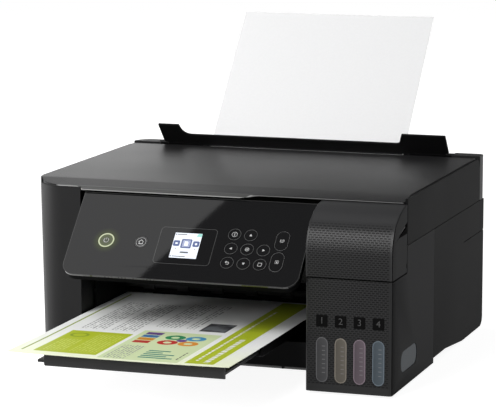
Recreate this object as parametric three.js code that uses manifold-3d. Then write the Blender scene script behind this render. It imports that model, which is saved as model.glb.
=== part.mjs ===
// Ink-tank inkjet printer with a flatbed scanner on top, a rear sheet feeder and a front output tray.
// Millimetres, +Z up, +X to the right seen from the front, +Y from the front to the back.
// While it is being built, Y = 0 is the front face of the ink tank unit and Z = 0 is the table.

import * as THREE from 'three';
import { mergeVertices } from 'three/addons/utils/BufferGeometryUtils.js';
import Module from 'manifold-3d';

const wasm = await Module();
wasm.setup();

// Driving dimensions of the whole printer
const bodyWidth = 375;
const bodyDepth = 347;
const bodyHeight = 177.5;
const bodySetback = 50;
const scannerHeight = 43.8;
const wall = 2.5;
const fit = 0.3;
const seam = 0.5;

// Lower case and side covers
const columnWidth = 52.5;
const columnRadius = 34;
const columnDepth = 34;
const rearRadius = 22;
const sideDraft = 3.5;
const coverBottom = 4;
const bellyHeight = 7.5;
const rearBellyHeight = 1.5;
const rampStart = 195;
const rampEnd = 262;
const floorTop = 10.5;
const baseWallTop = 60;
const portShelf = 22;
const bayWallTop = 98;
const footRadius = 9;
const grooveHeight = 101;
const grooveLength = 82;
const leftGrooveHeight = 92.9;

// Ink tank unit
const tankUnitWidth = 82;
const tankUnitDepth = 149;
const tankUnitBottom = 3;
const tankSeamHeight = 108.5;
const tankDeckTop = 105.5;
const tankWall = 2.2;
const tankCount = 4;
const tankPitch = 17.8;
const tankShift = 1.5;
const tankWidth = 16.6;
const tankHeight = 90;
const windowWidth = 12;
const windowBottom = 11.5;
const windowHeight = 42.5;
const sideWindow = { front: 31.5, back: 87, bottom: 17, top: 37, radius: 9 };
const neckRadius = 5.5;
const capRadius = 7;
const neckSetback = 26;

// Scanner and its lid
const lidThickness = 5.2;
const lidRim = 3.2;
const lidFrontDrop = 8;
const lidBevelDepth = 22;
const lidBevelDrop = 4;
const lidCornerRadius = 31;
const glassLength = 310;
const glassWidth = 221;
const glassThickness = 2.7;
const padThickness = 1.4;
const scannerNoseDepth = 34.5;
const hingeRadius = 1.2;

// Control panel
const panelTilt = THREE.MathUtils.degToRad(44);
const panelHeight = 94;
const panelFaceThickness = 2;
const panelDepth = 9;
const panelRadius = 13;
const panelLeftGap = 4.8;
const panelRightGap = 4.2;
const panelTopDrop = 9.9;
const panelTopSetback = 1.5;
const panelPivotDepth = 11.6;
const panelPivotDrop = 3.8;
const panelPinRadius = 3;

// Paper and its trays
const sheetWidth = 210;
const sheetLength = 297;
const sheetThickness = 0.3;
const pageHeight = 49.6;
const pageReach = 134;
const pageOffset = -27;
const trayWidth = 185;
const trayLength = 172;
const trayReach = 22;
const trayFloorHeight = 36.5;
const trayWall = 2.2;
const trayRailHeight = 9;
const extensionWidth = 177;
const extensionReach = 118;
const extensionLength = 138;
const lipHeight = 13.7;
const lipInset = 6.5;
const lipThickness = 5;

// Rear feeder
const feedLean = THREE.MathUtils.degToRad(41);
const feedSlotRise = 8.5;
const feedExposed = 161.5;
const hopperGap = 2.6;
const hopperThickness = 2.5;
const hopperDrop = 8;
const hopperLength = 120;
const hopperWidth = 300;
const guideHeight = 3.5;
const supportWidth = 150;
const supportRise = 95;
const supportLength = 135;
const pickupRadius = 14;
const pickupInset = 25;
const guardInset = 33.5;
const guardLean = THREE.MathUtils.degToRad(39);
const guardHeight = 27;
const guardDip = 13.2;
const guardThickness = 2.2;
const postWidth = 30;
const postDepth = 18.4;
const postRadius = 6;

// Print mechanism
const frameSetback = 107;
const frameTop = 126;
const frameBottom = 62;
const sheetMetal = 2;
const feedRollerRadius = 8;
const exitRollerRadius = 5;
const shaftRadius = 3;
const platenTop = 62;
const carriageWidth = 78;
const carriageOffset = 20;
const pulleyRadius = 6;

// Values worked out from the driving dimensions
const halfWidth = bodyWidth / 2;
const seamHeight = bodyHeight - scannerHeight;
const feedSlotHeight = bodyHeight + feedSlotRise;
const rearPlateTop = bodyHeight - 12.5;
const clearTop = bodyHeight + 40;
const guardWidth = bodyWidth - 2 * guardInset;
const lidBottom = bodyHeight - lidThickness;
const bayLeft = -halfWidth + columnWidth;
const bayRight = halfWidth - tankUnitWidth - 1.2;
const tankLeft = halfWidth - tankUnitWidth;
const tankCentre = halfWidth - tankUnitWidth / 2 + tankShift;
const columnBack = bodySetback + columnDepth;
const columnTop = lidBottom - fit;
const deckTop = lidBottom - padThickness - 2 * fit;
const innerLeft = -halfWidth + wall + sideDraft + seam;
const innerRight = halfWidth - wall - fit;
const rearWallFront = bodyDepth - wall;
const frameY = bodyDepth - frameSetback;
const feedRollerY = frameY - 16;
const exitRollerY = frameY - 68;
const rollerZ = platenTop;
const frameLeft = innerLeft + wall + fit;
const frameRight = innerRight - wall - fit;

const palette = {
  shell: [0x3a3a3a, 0.6, 0],
  panel: [0x2e2e2e, 0.15, 0],
  inner: [0x161616, 0.7, 0],
  white: [0xf2f2f2, 0.8, 0],
  steel: [0xb8bcc0, 0.35, 1],
  rubber: [0x1b1b1b, 0.9, 0],
  board: [0x1f5a35, 0.5, 0],
  glass: [0xaebfc4, 0.05, 0],
  lit: [0xd8e8a0, 0.4, 0],
  screen: [0xdfe6ee, 0.3, 0],
  ink: [0x55585c, 0.2, 0],
};

const machine = new THREE.Group();

// ---- shape helpers ----

function solid(geometry) {
  const bare = geometry.clone();
  bare.deleteAttribute('normal');
  bare.deleteAttribute('uv');
  const merged = mergeVertices(bare, 1e-4);
  return new wasm.Manifold(new wasm.Mesh({
    numProp: 3,
    vertProperties: new Float32Array(merged.attributes.position.array),
    triVerts: new Uint32Array(merged.index.array),
  }));
}

function geometryOf(body) {
  const mesh = body.getMesh();
  const geometry = new THREE.BufferGeometry();
  geometry.setAttribute('position', new THREE.BufferAttribute(new Float32Array(mesh.vertProperties), 3));
  geometry.setIndex(new THREE.BufferAttribute(new Uint32Array(mesh.triVerts), 1));
  return geometry;
}

function add(name, body, look, parent = machine) {
  const [color, roughness, metalness] = palette[look];
  const geometry = geometryOf(body);
  geometry.computeVertexNormals();
  const mesh = new THREE.Mesh(geometry, new THREE.MeshStandardMaterial({ color, roughness, metalness }));
  mesh.name = name;
  parent.add(mesh);
  return mesh;
}

function join(...bodies) {
  return bodies.reduce((whole, body) => whole.add(body));
}

function cut(body, ...tools) {
  return tools.reduce((rest, tool) => rest.subtract(tool), body);
}

// Corners are [a, b, radius]; each one with a radius becomes an arc.
function outline(corners, steps = 5) {
  const points = [];
  corners.forEach(([a, b, radius = 0], index) => {
    const corner = new THREE.Vector2(a, b);
    if (radius === 0) {
      points.push(corner);
      return;
    }
    const last = corners[(index + corners.length - 1) % corners.length];
    const next = corners[(index + 1) % corners.length];
    const back = new THREE.Vector2(last[0], last[1]).sub(corner).normalize();
    const ahead = new THREE.Vector2(next[0], next[1]).sub(corner).normalize();
    const half = Math.acos(THREE.MathUtils.clamp(back.dot(ahead), -1, 1)) / 2;
    const middle = back.clone().add(ahead).normalize();
    const centre = corner.clone().addScaledVector(middle, radius / Math.sin(half));
    const start = corner.clone().addScaledVector(back, radius / Math.tan(half)).sub(centre).angle();
    const end = corner.clone().addScaledVector(ahead, radius / Math.tan(half)).sub(centre).angle();
    const turn = Math.atan2(Math.sin(end - start), Math.cos(end - start));
    for (let step = 0; step <= steps; step += 1) {
      const angle = start + (turn * step) / steps;
      points.push(new THREE.Vector2(centre.x + radius * Math.cos(angle), centre.y + radius * Math.sin(angle)));
    }
  });
  return new THREE.Shape(points);
}

function extruded(shape, depth) {
  return new THREE.ExtrudeGeometry(shape, { depth, bevelEnabled: false });
}

// Outline in Y, Z run along X.
function prismX(shape, x0, x1) {
  const basis = new THREE.Matrix4().makeBasis(
    new THREE.Vector3(0, 1, 0),
    new THREE.Vector3(0, 0, 1),
    new THREE.Vector3(1, 0, 0),
  );
  return solid(extruded(shape, x1 - x0).applyMatrix4(basis).translate(x0, 0, 0));
}

// Outline in X, Z run along Y.
function prismY(shape, y0, y1) {
  const basis = new THREE.Matrix4().makeBasis(
    new THREE.Vector3(1, 0, 0),
    new THREE.Vector3(0, 0, 1),
    new THREE.Vector3(0, -1, 0),
  );
  return solid(extruded(shape, y1 - y0).applyMatrix4(basis).translate(0, y1, 0));
}

// Outline in X, Y run along Z.
function prismZ(shape, z0, z1) {
  return solid(extruded(shape, z1 - z0).translate(0, 0, z0));
}

function slab(x0, x1, y0, y1, z0, z1) {
  const box = new THREE.BoxGeometry(x1 - x0, y1 - y0, z1 - z0);
  return solid(box.translate((x0 + x1) / 2, (y0 + y1) / 2, (z0 + z1) / 2));
}

function rodX(y, z, radius, x0, x1, sides = 16) {
  const rod = new THREE.CylinderGeometry(radius, radius, x1 - x0, sides).rotateZ(Math.PI / 2);
  return solid(rod.translate((x0 + x1) / 2, y, z));
}

function rodY(x, z, radius, y0, y1, sides = 16) {
  return solid(new THREE.CylinderGeometry(radius, radius, y1 - y0, sides).translate(x, (y0 + y1) / 2, z));
}

function rodZ(x, y, radius, z0, z1, sides = 20) {
  const rod = new THREE.CylinderGeometry(radius, radius, z1 - z0, sides).rotateX(Math.PI / 2);
  return solid(rod.translate(x, y, (z0 + z1) / 2));
}

function rounded(a0, a1, b0, b1, radius, steps = 4) {
  return outline([[a0, b0, radius], [a1, b0, radius], [a1, b1, radius], [a0, b1, radius]], steps);
}

// The left side leans in towards the table: full draft at the outer wall, none at the bay.
function drafted(body) {
  return body.warp((vertex) => {
    const depth = THREE.MathUtils.clamp((bayLeft - vertex[0]) / columnWidth, 0, 1);
    vertex[0] += sideDraft * depth * (1 - vertex[2] / bodyHeight);
  });
}

// A point of the feeder: distance up the paper from the slot, and distance in front of the paper.
function onFeed(up, ahead) {
  const y = bodyDepth + up * Math.sin(feedLean) - ahead * Math.cos(feedLean);
  const z = feedSlotHeight + up * Math.cos(feedLean) + ahead * Math.sin(feedLean);
  return [y, z];
}

// ---- lower case ----

const bellyLine = [
  [bodySetback, 12],
  [bodySetback + 10, bellyHeight],
  [rampStart, bellyHeight],
  [rampEnd, rearBellyHeight],
];

function baseCase() {
  const profile = outline([
    ...bellyLine,
    [rearWallFront - seam, rearBellyHeight, 8],
    [rearWallFront - seam, baseWallTop],
    [bodySetback, baseWallTop],
  ]);
  const tub = cut(
    prismX(profile, innerLeft, innerRight),
    slab(innerLeft + wall, innerRight - wall, bodySetback + wall, rearWallFront - seam - wall, floorTop, clearTop),
    slab(bayRight, bodyWidth, 0, tankUnitDepth + fit + wall, 0, clearTop),
    slab(-bodyWidth, bodyWidth, 0, bodySetback + wall + fit, trayFloorHeight - fit, clearTop),
    slab(-bodyWidth, bayLeft + fit, 0, columnBack + fit, 0, clearTop),
    slab(-bodyWidth, innerLeft + wall + seam, 0, bodyDepth, baseWallTop - 1, clearTop),
    slab(-bodyWidth, -halfWidth + rearRadius, bodyDepth - rearRadius, bodyDepth, 0, clearTop),
    slab(-bodyWidth, bodyWidth, rearWallFront - seam - wall - fit, bodyDepth, portShelf, clearTop),
  );
  const hangerTop = bodyHeight - panelTopDrop - 1;
  const rightWall = join(
    slab(bayRight - wall, bayRight, bodySetback + wall, tankUnitDepth + 10, bellyHeight + 1, bayWallTop),
    slab(bayRight - wall, bayRight, bodySetback, bodySetback + 22, 12, hangerTop),
  );
  const leftWall = slab(bayLeft, bayLeft + wall, columnBack + seam, exitRollerY - 10, floorTop - 1, bayWallTop);
  const trayRibs = [-1, 1].map((side) => {
    const x = pageOffset + 6 + side * (trayWidth / 2 - 4);
    return slab(x - 1, x + 1, bodySetback + 1, frameY - 20, floorTop - 1, trayFloorHeight - fit);
  });
  const pinHole = rodX(panelPivot[0], panelPivot[1], panelPinRadius + fit, bayRight - 9, bayRight + 1);
  return cut(join(tub, rightWall, leftWall, ...trayRibs), pinHole);
}

const panelOrigin = [bodySetback + panelTopSetback, bodyHeight - panelTopDrop];
const panelPivot = [
  panelOrigin[0] + panelPivotDepth * Math.cos(panelTilt) - panelPivotDrop * Math.sin(panelTilt),
  panelOrigin[1] - panelPivotDepth * Math.sin(panelTilt) - panelPivotDrop * Math.cos(panelTilt),
];

function sideSkin(inset) {
  const left = -halfWidth + inset;
  return [
    [left, bodySetback + inset, columnRadius - inset],
    [left, bodyDepth - inset, rearRadius - inset],
  ];
}

function leftSideCover() {
  const outer = sideSkin(0);
  const inner = sideSkin(wall);
  const ring = outline([
    [bayLeft, columnBack],
    [bayLeft, bodySetback],
    ...outer,
    [-halfWidth + 30, bodyDepth],
    [-halfWidth + 30, rearWallFront],
    [...inner[1]],
    [...inner[0]],
    [bayLeft - wall, bodySetback + wall],
    [bayLeft - wall, columnBack],
  ]);
  const skin = prismZ(ring, coverBottom, seamHeight - seam);
  const front = prismZ(ring, coverBottom, columnTop).intersect(
    slab(-bodyWidth, bodyWidth, 0, columnBack, 0, bodyHeight),
  );
  const cap = prismZ(outline([
    [bayLeft, columnBack],
    [bayLeft, bodySetback],
    outer[0],
    [-halfWidth, columnBack],
  ]), columnTop - wall, columnTop);
  const rimLine = prismZ(ring, columnTop - 1, bodyHeight - 0.8).intersect(
    slab(-bodyWidth, -halfWidth + lidRim + 6, bodySetback + 6, columnBack, 0, bodyHeight),
  );
  const rimInside = prismZ(outline([
    [-halfWidth + lidRim - 0.6, bodySetback - 2, lidCornerRadius],
    [bayLeft, bodySetback - 2],
    [bayLeft, columnBack + 1],
    [-halfWidth + lidRim - 0.6, columnBack + 1],
  ]), columnTop, bodyHeight);
  const pinHole = rodX(panelPivot[0], panelPivot[1], panelPinRadius + fit, bayLeft - wall - 1, bayLeft + 1);
  const groove = slab(-bodyWidth, -halfWidth + 4, columnBack, bodyDepth + 1, leftGrooveHeight - 0.4,
    leftGrooveHeight + 0.4).intersect(
    cut(prismZ(outline([
      [-bodyWidth, bodySetback],
      [0, bodySetback],
      [0, bodyDepth + 1],
      [-bodyWidth, bodyDepth + 1],
    ]), 0, clearTop), prismZ(outline([
      ...sideSkin(0.7),
      [0, bodyDepth - 0.7],
      [0, bodySetback + 0.7],
    ]), 0, clearTop)),
  );
  return drafted(cut(join(skin, front, cap, cut(rimLine, rimInside)), pinHole, groove));
}

function rightSideCover() {
  const profile = outline([
    [tankUnitDepth + fit, bellyHeight],
    [rampStart, bellyHeight],
    [rampEnd, rearBellyHeight],
    [bodyDepth, rearBellyHeight, 10],
    [bodyDepth, seamHeight - seam],
    [tankUnitDepth + fit, seamHeight - seam],
  ]);
  const groove = slab(halfWidth - 0.7, halfWidth + 1, bodyDepth - grooveLength, bodyDepth + 1,
    grooveHeight - 0.4, grooveHeight + 0.4);
  return cut(prismX(profile, halfWidth - wall, halfWidth), groove);
}

function post(side) {
  const near = side * (halfWidth - postWidth);
  const far = side * halfWidth;
  const front = bodyDepth - postDepth;
  const block = prismZ(outline([
    [Math.min(near, far), front],
    [Math.max(near, far), front],
    [Math.max(near, far), bodyDepth, side > 0 ? postRadius : 0],
    [Math.min(near, far), bodyDepth, side < 0 ? postDepth - 1 : 0],
  ]), seamHeight, bodyHeight + 1);
  const inside = slab(Math.min(near, far) + wall, Math.max(near, far) - wall, front + wall,
    rearWallFront, seamHeight - 1, bodyHeight + 1 - wall);
  return cut(block, inside);
}

function rearCover() {
  const back = slab(-halfWidth + 30 + sideDraft / 2 + seam, halfWidth - wall - fit, rearWallFront, bodyDepth, 11.8, seamHeight);
  const upper = slab(-halfWidth + 24, halfWidth - 20, rearWallFront, bodyDepth, seamHeight, rearPlateTop);
  const bridge = slab(-halfWidth + 30 + sideDraft / 2 + seam, halfWidth - 20, rearWallFront, bodyDepth, seamHeight - 1,
    rearPlateTop);
  const pins = [-1, 1].map((side) => rodX(guardPivot[0], guardPivot[1], 1.5,
    side < 0 ? -guardWidth / 2 - 6 : guardWidth / 2 - 3, side < 0 ? -guardWidth / 2 + 3 : guardWidth / 2 + 6, 12));
  const ledges = [-1, 1].map((side) => {
    const ends = [side * (guardWidth / 2 - 3.2), side * (halfWidth - postWidth + 1)];
    return slab(Math.min(...ends), Math.max(...ends), guardPivot[0] + 2, guardPivot[0] + 4, bodyHeight - 5, bodyHeight - 1.1);
  });
  const ports = [
    rounded(powerX - 11, powerX + 11, 24, 40, 3),
    rounded(usbX - 7, usbX + 7, 29, 43, 1),
  ].map((hole) => prismY(hole, rearWallFront - 1, bodyDepth + 1));
  return cut(join(back, upper, bridge, post(-1), post(1), ...pins, ...ledges), ...ports);
}

const powerX = -128;
const usbX = halfWidth - 21;
const guardPivot = [bodyDepth - 13.8, bodyHeight + 0.7];

function foot(x, y, top) {
  return rodZ(x, y, footRadius, 0, top - fit, 16);
}

function powerSupply() {
  const brick = slab(-148, -60, rampEnd + 3, rearWallFront - 2 * wall, floorTop + fit, 56);
  const socket = prismY(rounded(powerX - 10.6, powerX + 10.6, 24.4, 39.6, 2.8), rearWallFront - 2 * wall - 1,
    bodyDepth - 0.4);
  const recess = prismY(rounded(powerX - 8, powerX + 8, 27, 37, 2.5), bodyDepth - 8, bodyDepth + 1);
  const pins = [-4, 4].map((dx) => rodY(powerX + dx, 32, 1, bodyDepth - 9, bodyDepth - 2, 8));
  return join(cut(join(brick, socket), recess), ...pins);
}

function mainboard() {
  const board = slab(usbX + 5.9, usbX + 7.5, rampEnd - 15, rearWallFront - wall - 2 * seam, floorTop + fit, 112);
  const port = slab(usbX - 6, usbX + 6, rearWallFront - 18, bodyDepth - 0.4, 30, 42);
  const opening = slab(usbX - 4.2, usbX + 4.2, bodyDepth - 9, bodyDepth + 1, 32, 40);
  const tongue = slab(usbX - 2.6, usbX + 2.6, bodyDepth - 9.5, bodyDepth - 1.5, 34.6, 37.4);
  const chips = [0, 1, 2].map((row) => slab(usbX + 3.4, usbX + 6, rampEnd + 8 * row * 2 - 8,
    rampEnd + 8 * row * 2 + 2, 70, 84));
  return join(cut(join(board, port), opening), tongue, ...chips);
}

// ---- ink tank unit ----

function tankX(index) {
  return tankCentre + (index - (tankCount - 1) / 2) * tankPitch;
}

const capHinge = [neckSetback + 12.5, tankDeckTop + 9];

function tankHousing() {
  const footprint = (inset) => outline([
    [tankLeft + inset, inset, 3],
    [halfWidth - inset, inset, 3],
    [halfWidth - inset, tankUnitDepth - inset],
    [tankLeft + inset, tankUnitDepth - inset],
  ], 3);
  const front = prismZ(footprint(0), tankUnitBottom, tankSeamHeight - seam);
  const back = slab(tankLeft, halfWidth, bodySetback + seam, tankUnitDepth, tankUnitBottom, seamHeight - seam);
  const hollow = join(
    slab(tankLeft + tankWall, halfWidth - tankWall, tankWall, tankUnitDepth - tankWall,
      tankUnitBottom + tankWall, tankDeckTop - tankWall),
    slab(tankLeft + tankWall, halfWidth - tankWall, bodySetback + 2 * tankWall, tankUnitDepth - tankWall,
      tankDeckTop - 5, seamHeight - seam - tankWall),
  );
  const aboveDeck = slab(tankLeft + tankWall, halfWidth - tankWall, tankWall, bodySetback - fit,
    tankDeckTop, tankSeamHeight + 1);
  const windows = [];
  const necks = [];
  const lugs = [];
  for (let index = 0; index < tankCount; index += 1) {
    const x = tankX(index);
    windows.push(prismY(rounded(x - windowWidth / 2, x + windowWidth / 2, windowBottom,
      windowBottom + windowHeight, windowWidth / 2 - 0.01, 4), -1, tankWall + 1));
    necks.push(rodZ(x, neckSetback, neckRadius + fit, tankDeckTop - 5, tankDeckTop + 1, 12));
    [-1, 1].forEach((side) => {
      const inner = x + side * 2.4;
      const outer = x + side * 4.4;
      const lug = slab(Math.min(inner, outer), Math.max(inner, outer), capHinge[0] - 2.5, capHinge[0] + 2.5,
        tankDeckTop - 0.5, capHinge[1] + 2.6);
      const hole = rodX(capHinge[0], capHinge[1], 1.1 + fit, Math.min(inner, outer) - 1,
        Math.max(inner, outer) + 1, 8);
      lugs.push(cut(lug, hole));
    });
  }
  const side = prismX(rounded(sideWindow.front, sideWindow.back, sideWindow.bottom, sideWindow.top,
    sideWindow.radius), halfWidth - tankWall - 1, halfWidth + 1);
  return join(cut(join(front, back), hollow, aboveDeck, side, ...windows, ...necks), ...lugs);
}

function inkTank(index) {
  const x = tankX(index);
  const bottom = tankUnitBottom + tankWall + fit;
  const body = slab(x - tankWidth / 2, x + tankWidth / 2, tankWall + fit, tankUnitDepth - tankWall - 4 * fit,
    bottom, bottom + tankHeight);
  const shrink = windowWidth / 2 - fit;
  const lens = prismY(rounded(x - shrink, x + shrink, windowBottom + fit, windowBottom + windowHeight - fit,
    shrink - 0.01, 4), 0.3, tankWall + 1);
  const neck = rodZ(x, neckSetback, neckRadius, bottom + tankHeight - 1, capHinge[1] - 2.2, 12);
  const parts = [body, lens, neck];
  if (index === tankCount - 1) {
    parts.push(prismX(rounded(sideWindow.front + fit, sideWindow.back - fit, sideWindow.bottom + fit,
      sideWindow.top - fit, sideWindow.radius - fit), x, halfWidth - fit));
  }
  return join(...parts);
}

function tankCap(index) {
  const x = tankX(index);
  const [hingeY, hingeZ] = capHinge;
  const bottom = hingeZ - 2.2 + fit;
  const lid = rodZ(x, neckSetback, capRadius, bottom, bottom + 7, 20);
  const arm = slab(x - 1.8, x + 1.8, neckSetback + 4, hingeY, bottom, bottom + 3);
  const barrel = rodX(hingeY, hingeZ, 1.9, x - 2, x + 2, 10);
  const pin = rodX(hingeY, hingeZ, 1.1, x - 4.4, x + 4.4, 8);
  return join(lid, arm, barrel, pin);
}

// Front of the cover in side view: upright below, one long curve, then a slope up to the scanner.
const coverFace = [[0, 21.5], [1, 31.5], [5, 41.5], [12, 50], [24, 57], [38, 62]];
const coverFaceHeight = 63.5;
const coverNotch = { front: 19, back: 46, height: tankSeamHeight + 36.5 };

function tankCover() {
  const back = bodySetback - seam;
  const top = lidBottom - seam;
  const stretch = (top - tankSeamHeight) / coverFaceHeight;
  const curve = coverFace.map(([y, rise]) => [y, tankSeamHeight + rise * stretch]);
  const outside = outline([[0, tankSeamHeight, 1.2], ...curve, [back, top], [back, tankSeamHeight]]);
  const inside = outline([
    [tankWall, tankSeamHeight - 1],
    ...curve.map(([y, z]) => [y + tankWall, z - tankWall * 0.6]),
    [back + 1, top - tankWall],
    [back + 1, tankSeamHeight - 1],
  ]);
  const notch = prismX(outline([
    [coverNotch.front, coverNotch.height],
    [coverNotch.back, coverNotch.height + 7],
    [coverNotch.back - 1, coverNotch.height + 9.5],
  ]), halfWidth - 1.4, halfWidth + 1);
  return cut(
    prismX(outside, tankLeft, halfWidth),
    prismX(inside, tankLeft + tankWall, halfWidth - tankWall),
    notch,
  );
}

// ---- scanner ----

const scannerFront = columnBack + seam;
const noseFront = bodySetback + 2 * seam;
const feederClearance = 9;
const feederCut = outline([
  onFeed(-feedSlotHeight + seamHeight - 30, feederClearance),
  onFeed(10, feederClearance),
  [bodyDepth + 40, feedSlotHeight],
  [bodyDepth + 40, seamHeight - 30],
]);
const scannerPivot = [bodyDepth - 29, seamHeight + 32.3];
const lidBack = bodyDepth - 24.5;
const lidPivot = [lidBack - 3, deckTop + 2.2];
const lidHingeX = 115;
const slotX = hopperWidth / 2;

function scannerCase() {
  const back = bodyDepth - postDepth - seam;
  const outside = prismZ(outline([
    [-halfWidth, scannerFront],
    [tankLeft - fit, scannerFront],
    [tankLeft - fit, noseFront],
    [halfWidth, noseFront],
    [halfWidth, back],
    [-halfWidth, back],
  ]), seamHeight, bodyHeight - 0.8);
  const lidWell = join(
    slab(-halfWidth + lidRim - 2 * fit, halfWidth - lidRim + 2 * fit, 0, lidBack + 1.7, deckTop, clearTop),
    slab(-slotX - 3, slotX + 3, 0, bodyDepth, deckTop, clearTop),
  );
  const chamber = prismX(outline([
    [scannerFront + 3.5, seamHeight + 3],
    [bodyDepth - 61, seamHeight + 3],
    [bodyDepth - 40, deckTop - 4],
    [scannerFront + 3.5, deckTop - 4],
  ]), -halfWidth + 5, halfWidth - 5);
  const window = slab(-glassLength / 2 + 3, glassLength / 2 - 3, glassFront + 3, glassFront + glassWidth - 3,
    deckTop - 5, deckTop + 1);
  const rabbet = slab(-glassLength / 2 - fit, glassLength / 2 + fit, glassFront - fit,
    glassFront + glassWidth + fit, deckTop - glassThickness - fit, deckTop + 1);
  const feeder = prismX(feederCut, -slotX - 3, slotX + 3);
  const slots = [-1, 1].map((side) => slab(Math.min(side * (slotX - 0.5), side * (slotX + 3)),
    Math.max(side * (slotX - 0.5), side * (slotX + 3)), scannerPivot[0] - 9, bodyDepth, seamHeight - 1, clearTop));
  const cheekRoom = [-1, 1].map((side) => slab(Math.min(side * (slotX - 0.5), side * (slotX + 3)),
    Math.max(side * (slotX - 0.5), side * (slotX + 3)), bodyDepth - 50, bodyDepth, seamHeight - 1, seamHeight + 6));
  const heel = cut(
    slab(-bodyWidth, bodyWidth, scannerPivot[0], bodyDepth, scannerPivot[1], clearTop),
    rodX(scannerPivot[0], scannerPivot[1], back - scannerPivot[0], -bodyWidth - 1, bodyWidth + 1, 32),
  );
  const pins = [-1, 1].map((side) => rodX(scannerPivot[0], scannerPivot[1], 2.5,
    side < 0 ? -slotX - 4 : slotX + 0.2, side < 0 ? -slotX - 0.2 : slotX + 4, 12));
  const sideways = bodyWidth + 1;
  const tail = cut(
    slab(-bodyWidth, bodyWidth, scannerPivot[0], bodyDepth, seamHeight - 1, scannerPivot[1]),
    rodX(...scannerPivot, scannerPivot[1] - seamHeight + fit, -sideways, sideways, 96),
  );
  const swing = [
    [-bodyWidth, tankLeft - fit, scannerPivot[0] - columnBack - fit],
    [tankLeft - fit, bodyWidth, scannerPivot[0] - bodySetback + seam - fit],
  ].map(([x0, x1, radius]) => cut(
    slab(x0, x1, 0, scannerPivot[0], seamHeight - 1, scannerPivot[1]),
    rodX(...scannerPivot, radius, x0 - 1, x1 + 1, 240),
  ));
  const shell = cut(outside, lidWell, chamber, window, rabbet, feeder, ...slots, ...cheekRoom, heel, tail,
    ...swing);
  const lugs = [];
  [-1, 1].forEach((side) => [-1, 1].forEach((edge) => {
    const x = side * lidHingeX + edge * 5;
    const block = slab(x - 1.2, x + 1.2, lidPivot[0] - 2.3, lidPivot[0] + 2.1, deckTop - 1, lidPivot[1] + 2.2);
    lugs.push(cut(block, rodX(lidPivot[0], lidPivot[1], hingeRadius + fit, x - 2, x + 2, 10)));
  }));
  return join(shell, ...pins, ...lugs);
}

const glassFront = scannerFront + 7;

function scannerGlass() {
  return slab(-glassLength / 2, glassLength / 2, glassFront, glassFront + glassWidth,
    deckTop - glassThickness, deckTop - 0.1);
}

function scanBar() {
  const low = seamHeight + 3 + fit;
  const bar = slab(-150, -128, scannerFront + 8, bodyDepth - 66, low, low + 16);
  const lens = slab(-147, -131, scannerFront + 10, bodyDepth - 68, low + 15, low + 20);
  return join(bar, lens);
}

function documentCover() {
  const front = bodySetback - seam;
  const back = lidBack;
  const profile = outline([
    [front, lidBottom],
    [front, bodyHeight - lidBevelDrop],
    [front + lidBevelDepth, bodyHeight],
    [back - 3, bodyHeight],
    [back, bodyHeight - 3],
    [back, lidBottom + 2],
    [back - 1.5, lidBottom],
  ]);
  const left = -halfWidth + lidRim;
  const right = halfWidth - lidRim;
  const plan = prismZ(outline([
    [left, front, lidCornerRadius],
    [right, front, 2],
    [right, back],
    [left, back, 4],
  ], 8), 0, clearTop);
  const lip = prismY(outline([
    [bayLeft + 1, bodyHeight - lidFrontDrop],
    [25, bodyHeight - lidFrontDrop],
    [44, lidBottom],
    [44, lidBottom + 1],
    [bayLeft + 1, lidBottom + 1],
  ]), front, front + wall);
  const plate = prismX(profile, left, right).intersect(plan);
  const recesses = [-1, 1].map((side) => slab(side * lidHingeX - 7, side * lidHingeX + 7, lidPivot[0] - 5.5,
    bodyDepth, lidBottom - 1, lidPivot[1] + 3.4));
  const barrels = [-1, 1].map((side) => join(
    rodX(lidPivot[0], lidPivot[1], 1.9, side * lidHingeX - 3, side * lidHingeX + 3, 12),
    slab(side * lidHingeX - 3, side * lidHingeX + 3, lidPivot[0] - 1.5, lidPivot[0] + 1.5, lidPivot[1],
      lidPivot[1] + 4),
    rodX(lidPivot[0], lidPivot[1], hingeRadius, side * lidHingeX - 6.2, side * lidHingeX + 6.2, 10),
  ));
  return join(cut(join(plate, lip), ...recesses), ...barrels);
}

function documentPad() {
  return slab(-160, 160, scannerFront + 1, bodyDepth - 38, lidBottom - fit - padThickness, lidBottom - fit);
}

// ---- control panel: local X along it, Z up its slope, Y into the machine ----

const panelLeft = bayLeft + panelLeftGap;
const panelRight = tankLeft - panelRightGap;
const panelGroup = new THREE.Group();
panelGroup.position.set(0, ...panelOrigin);
panelGroup.rotation.x = -panelTilt;
machine.add(panelGroup);

const keyRadius = 6.5;
const keyPitch = 15.8;
const keyColumn = panelRight - 72;
const keyRow = -39.2;
const roundKeys = [
  ['key_help', 0, 0],
  ['key_up', 1, 0],
  ['key_left', 0, 1],
  ['key_ok', 1, 1],
  ['key_right', 2, 1],
  ['key_back', 0, 2],
  ['key_down', 1, 2],
  ['key_stop', 2, 2],
];
const longKeys = [['key_copy_mono', -43.6], ['key_copy_colour', -67]];
const longKeyX = panelRight - 24.9;
const longKeySize = [13.2, 21.8];
const powerKey = [panelLeft + 35.9, -53.8, 7.9];
const homeKey = [panelLeft + 70.7, -53.6, keyRadius];
const screenBox = { left: panelLeft + 101.5, right: panelLeft + 128.8, bottom: -69, top: -40.2 };
const keyGap = 0.25;
const keyTravel = 0.5;

function keyOutline(x, z, width, height, grow) {
  const radius = width / 2 + grow - 0.01;
  if (width === height) {
    return outline([
      [x - width / 2 - grow, z - height / 2 - grow, radius],
      [x + width / 2 + grow, z - height / 2 - grow, radius],
      [x + width / 2 + grow, z + height / 2 + grow, radius],
      [x - width / 2 - grow, z + height / 2 + grow, radius],
    ], 4);
  }
  return rounded(x - width / 2 - grow, x + width / 2 + grow, z - height / 2 - grow, z + height / 2 + grow,
    radius, 4);
}

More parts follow.
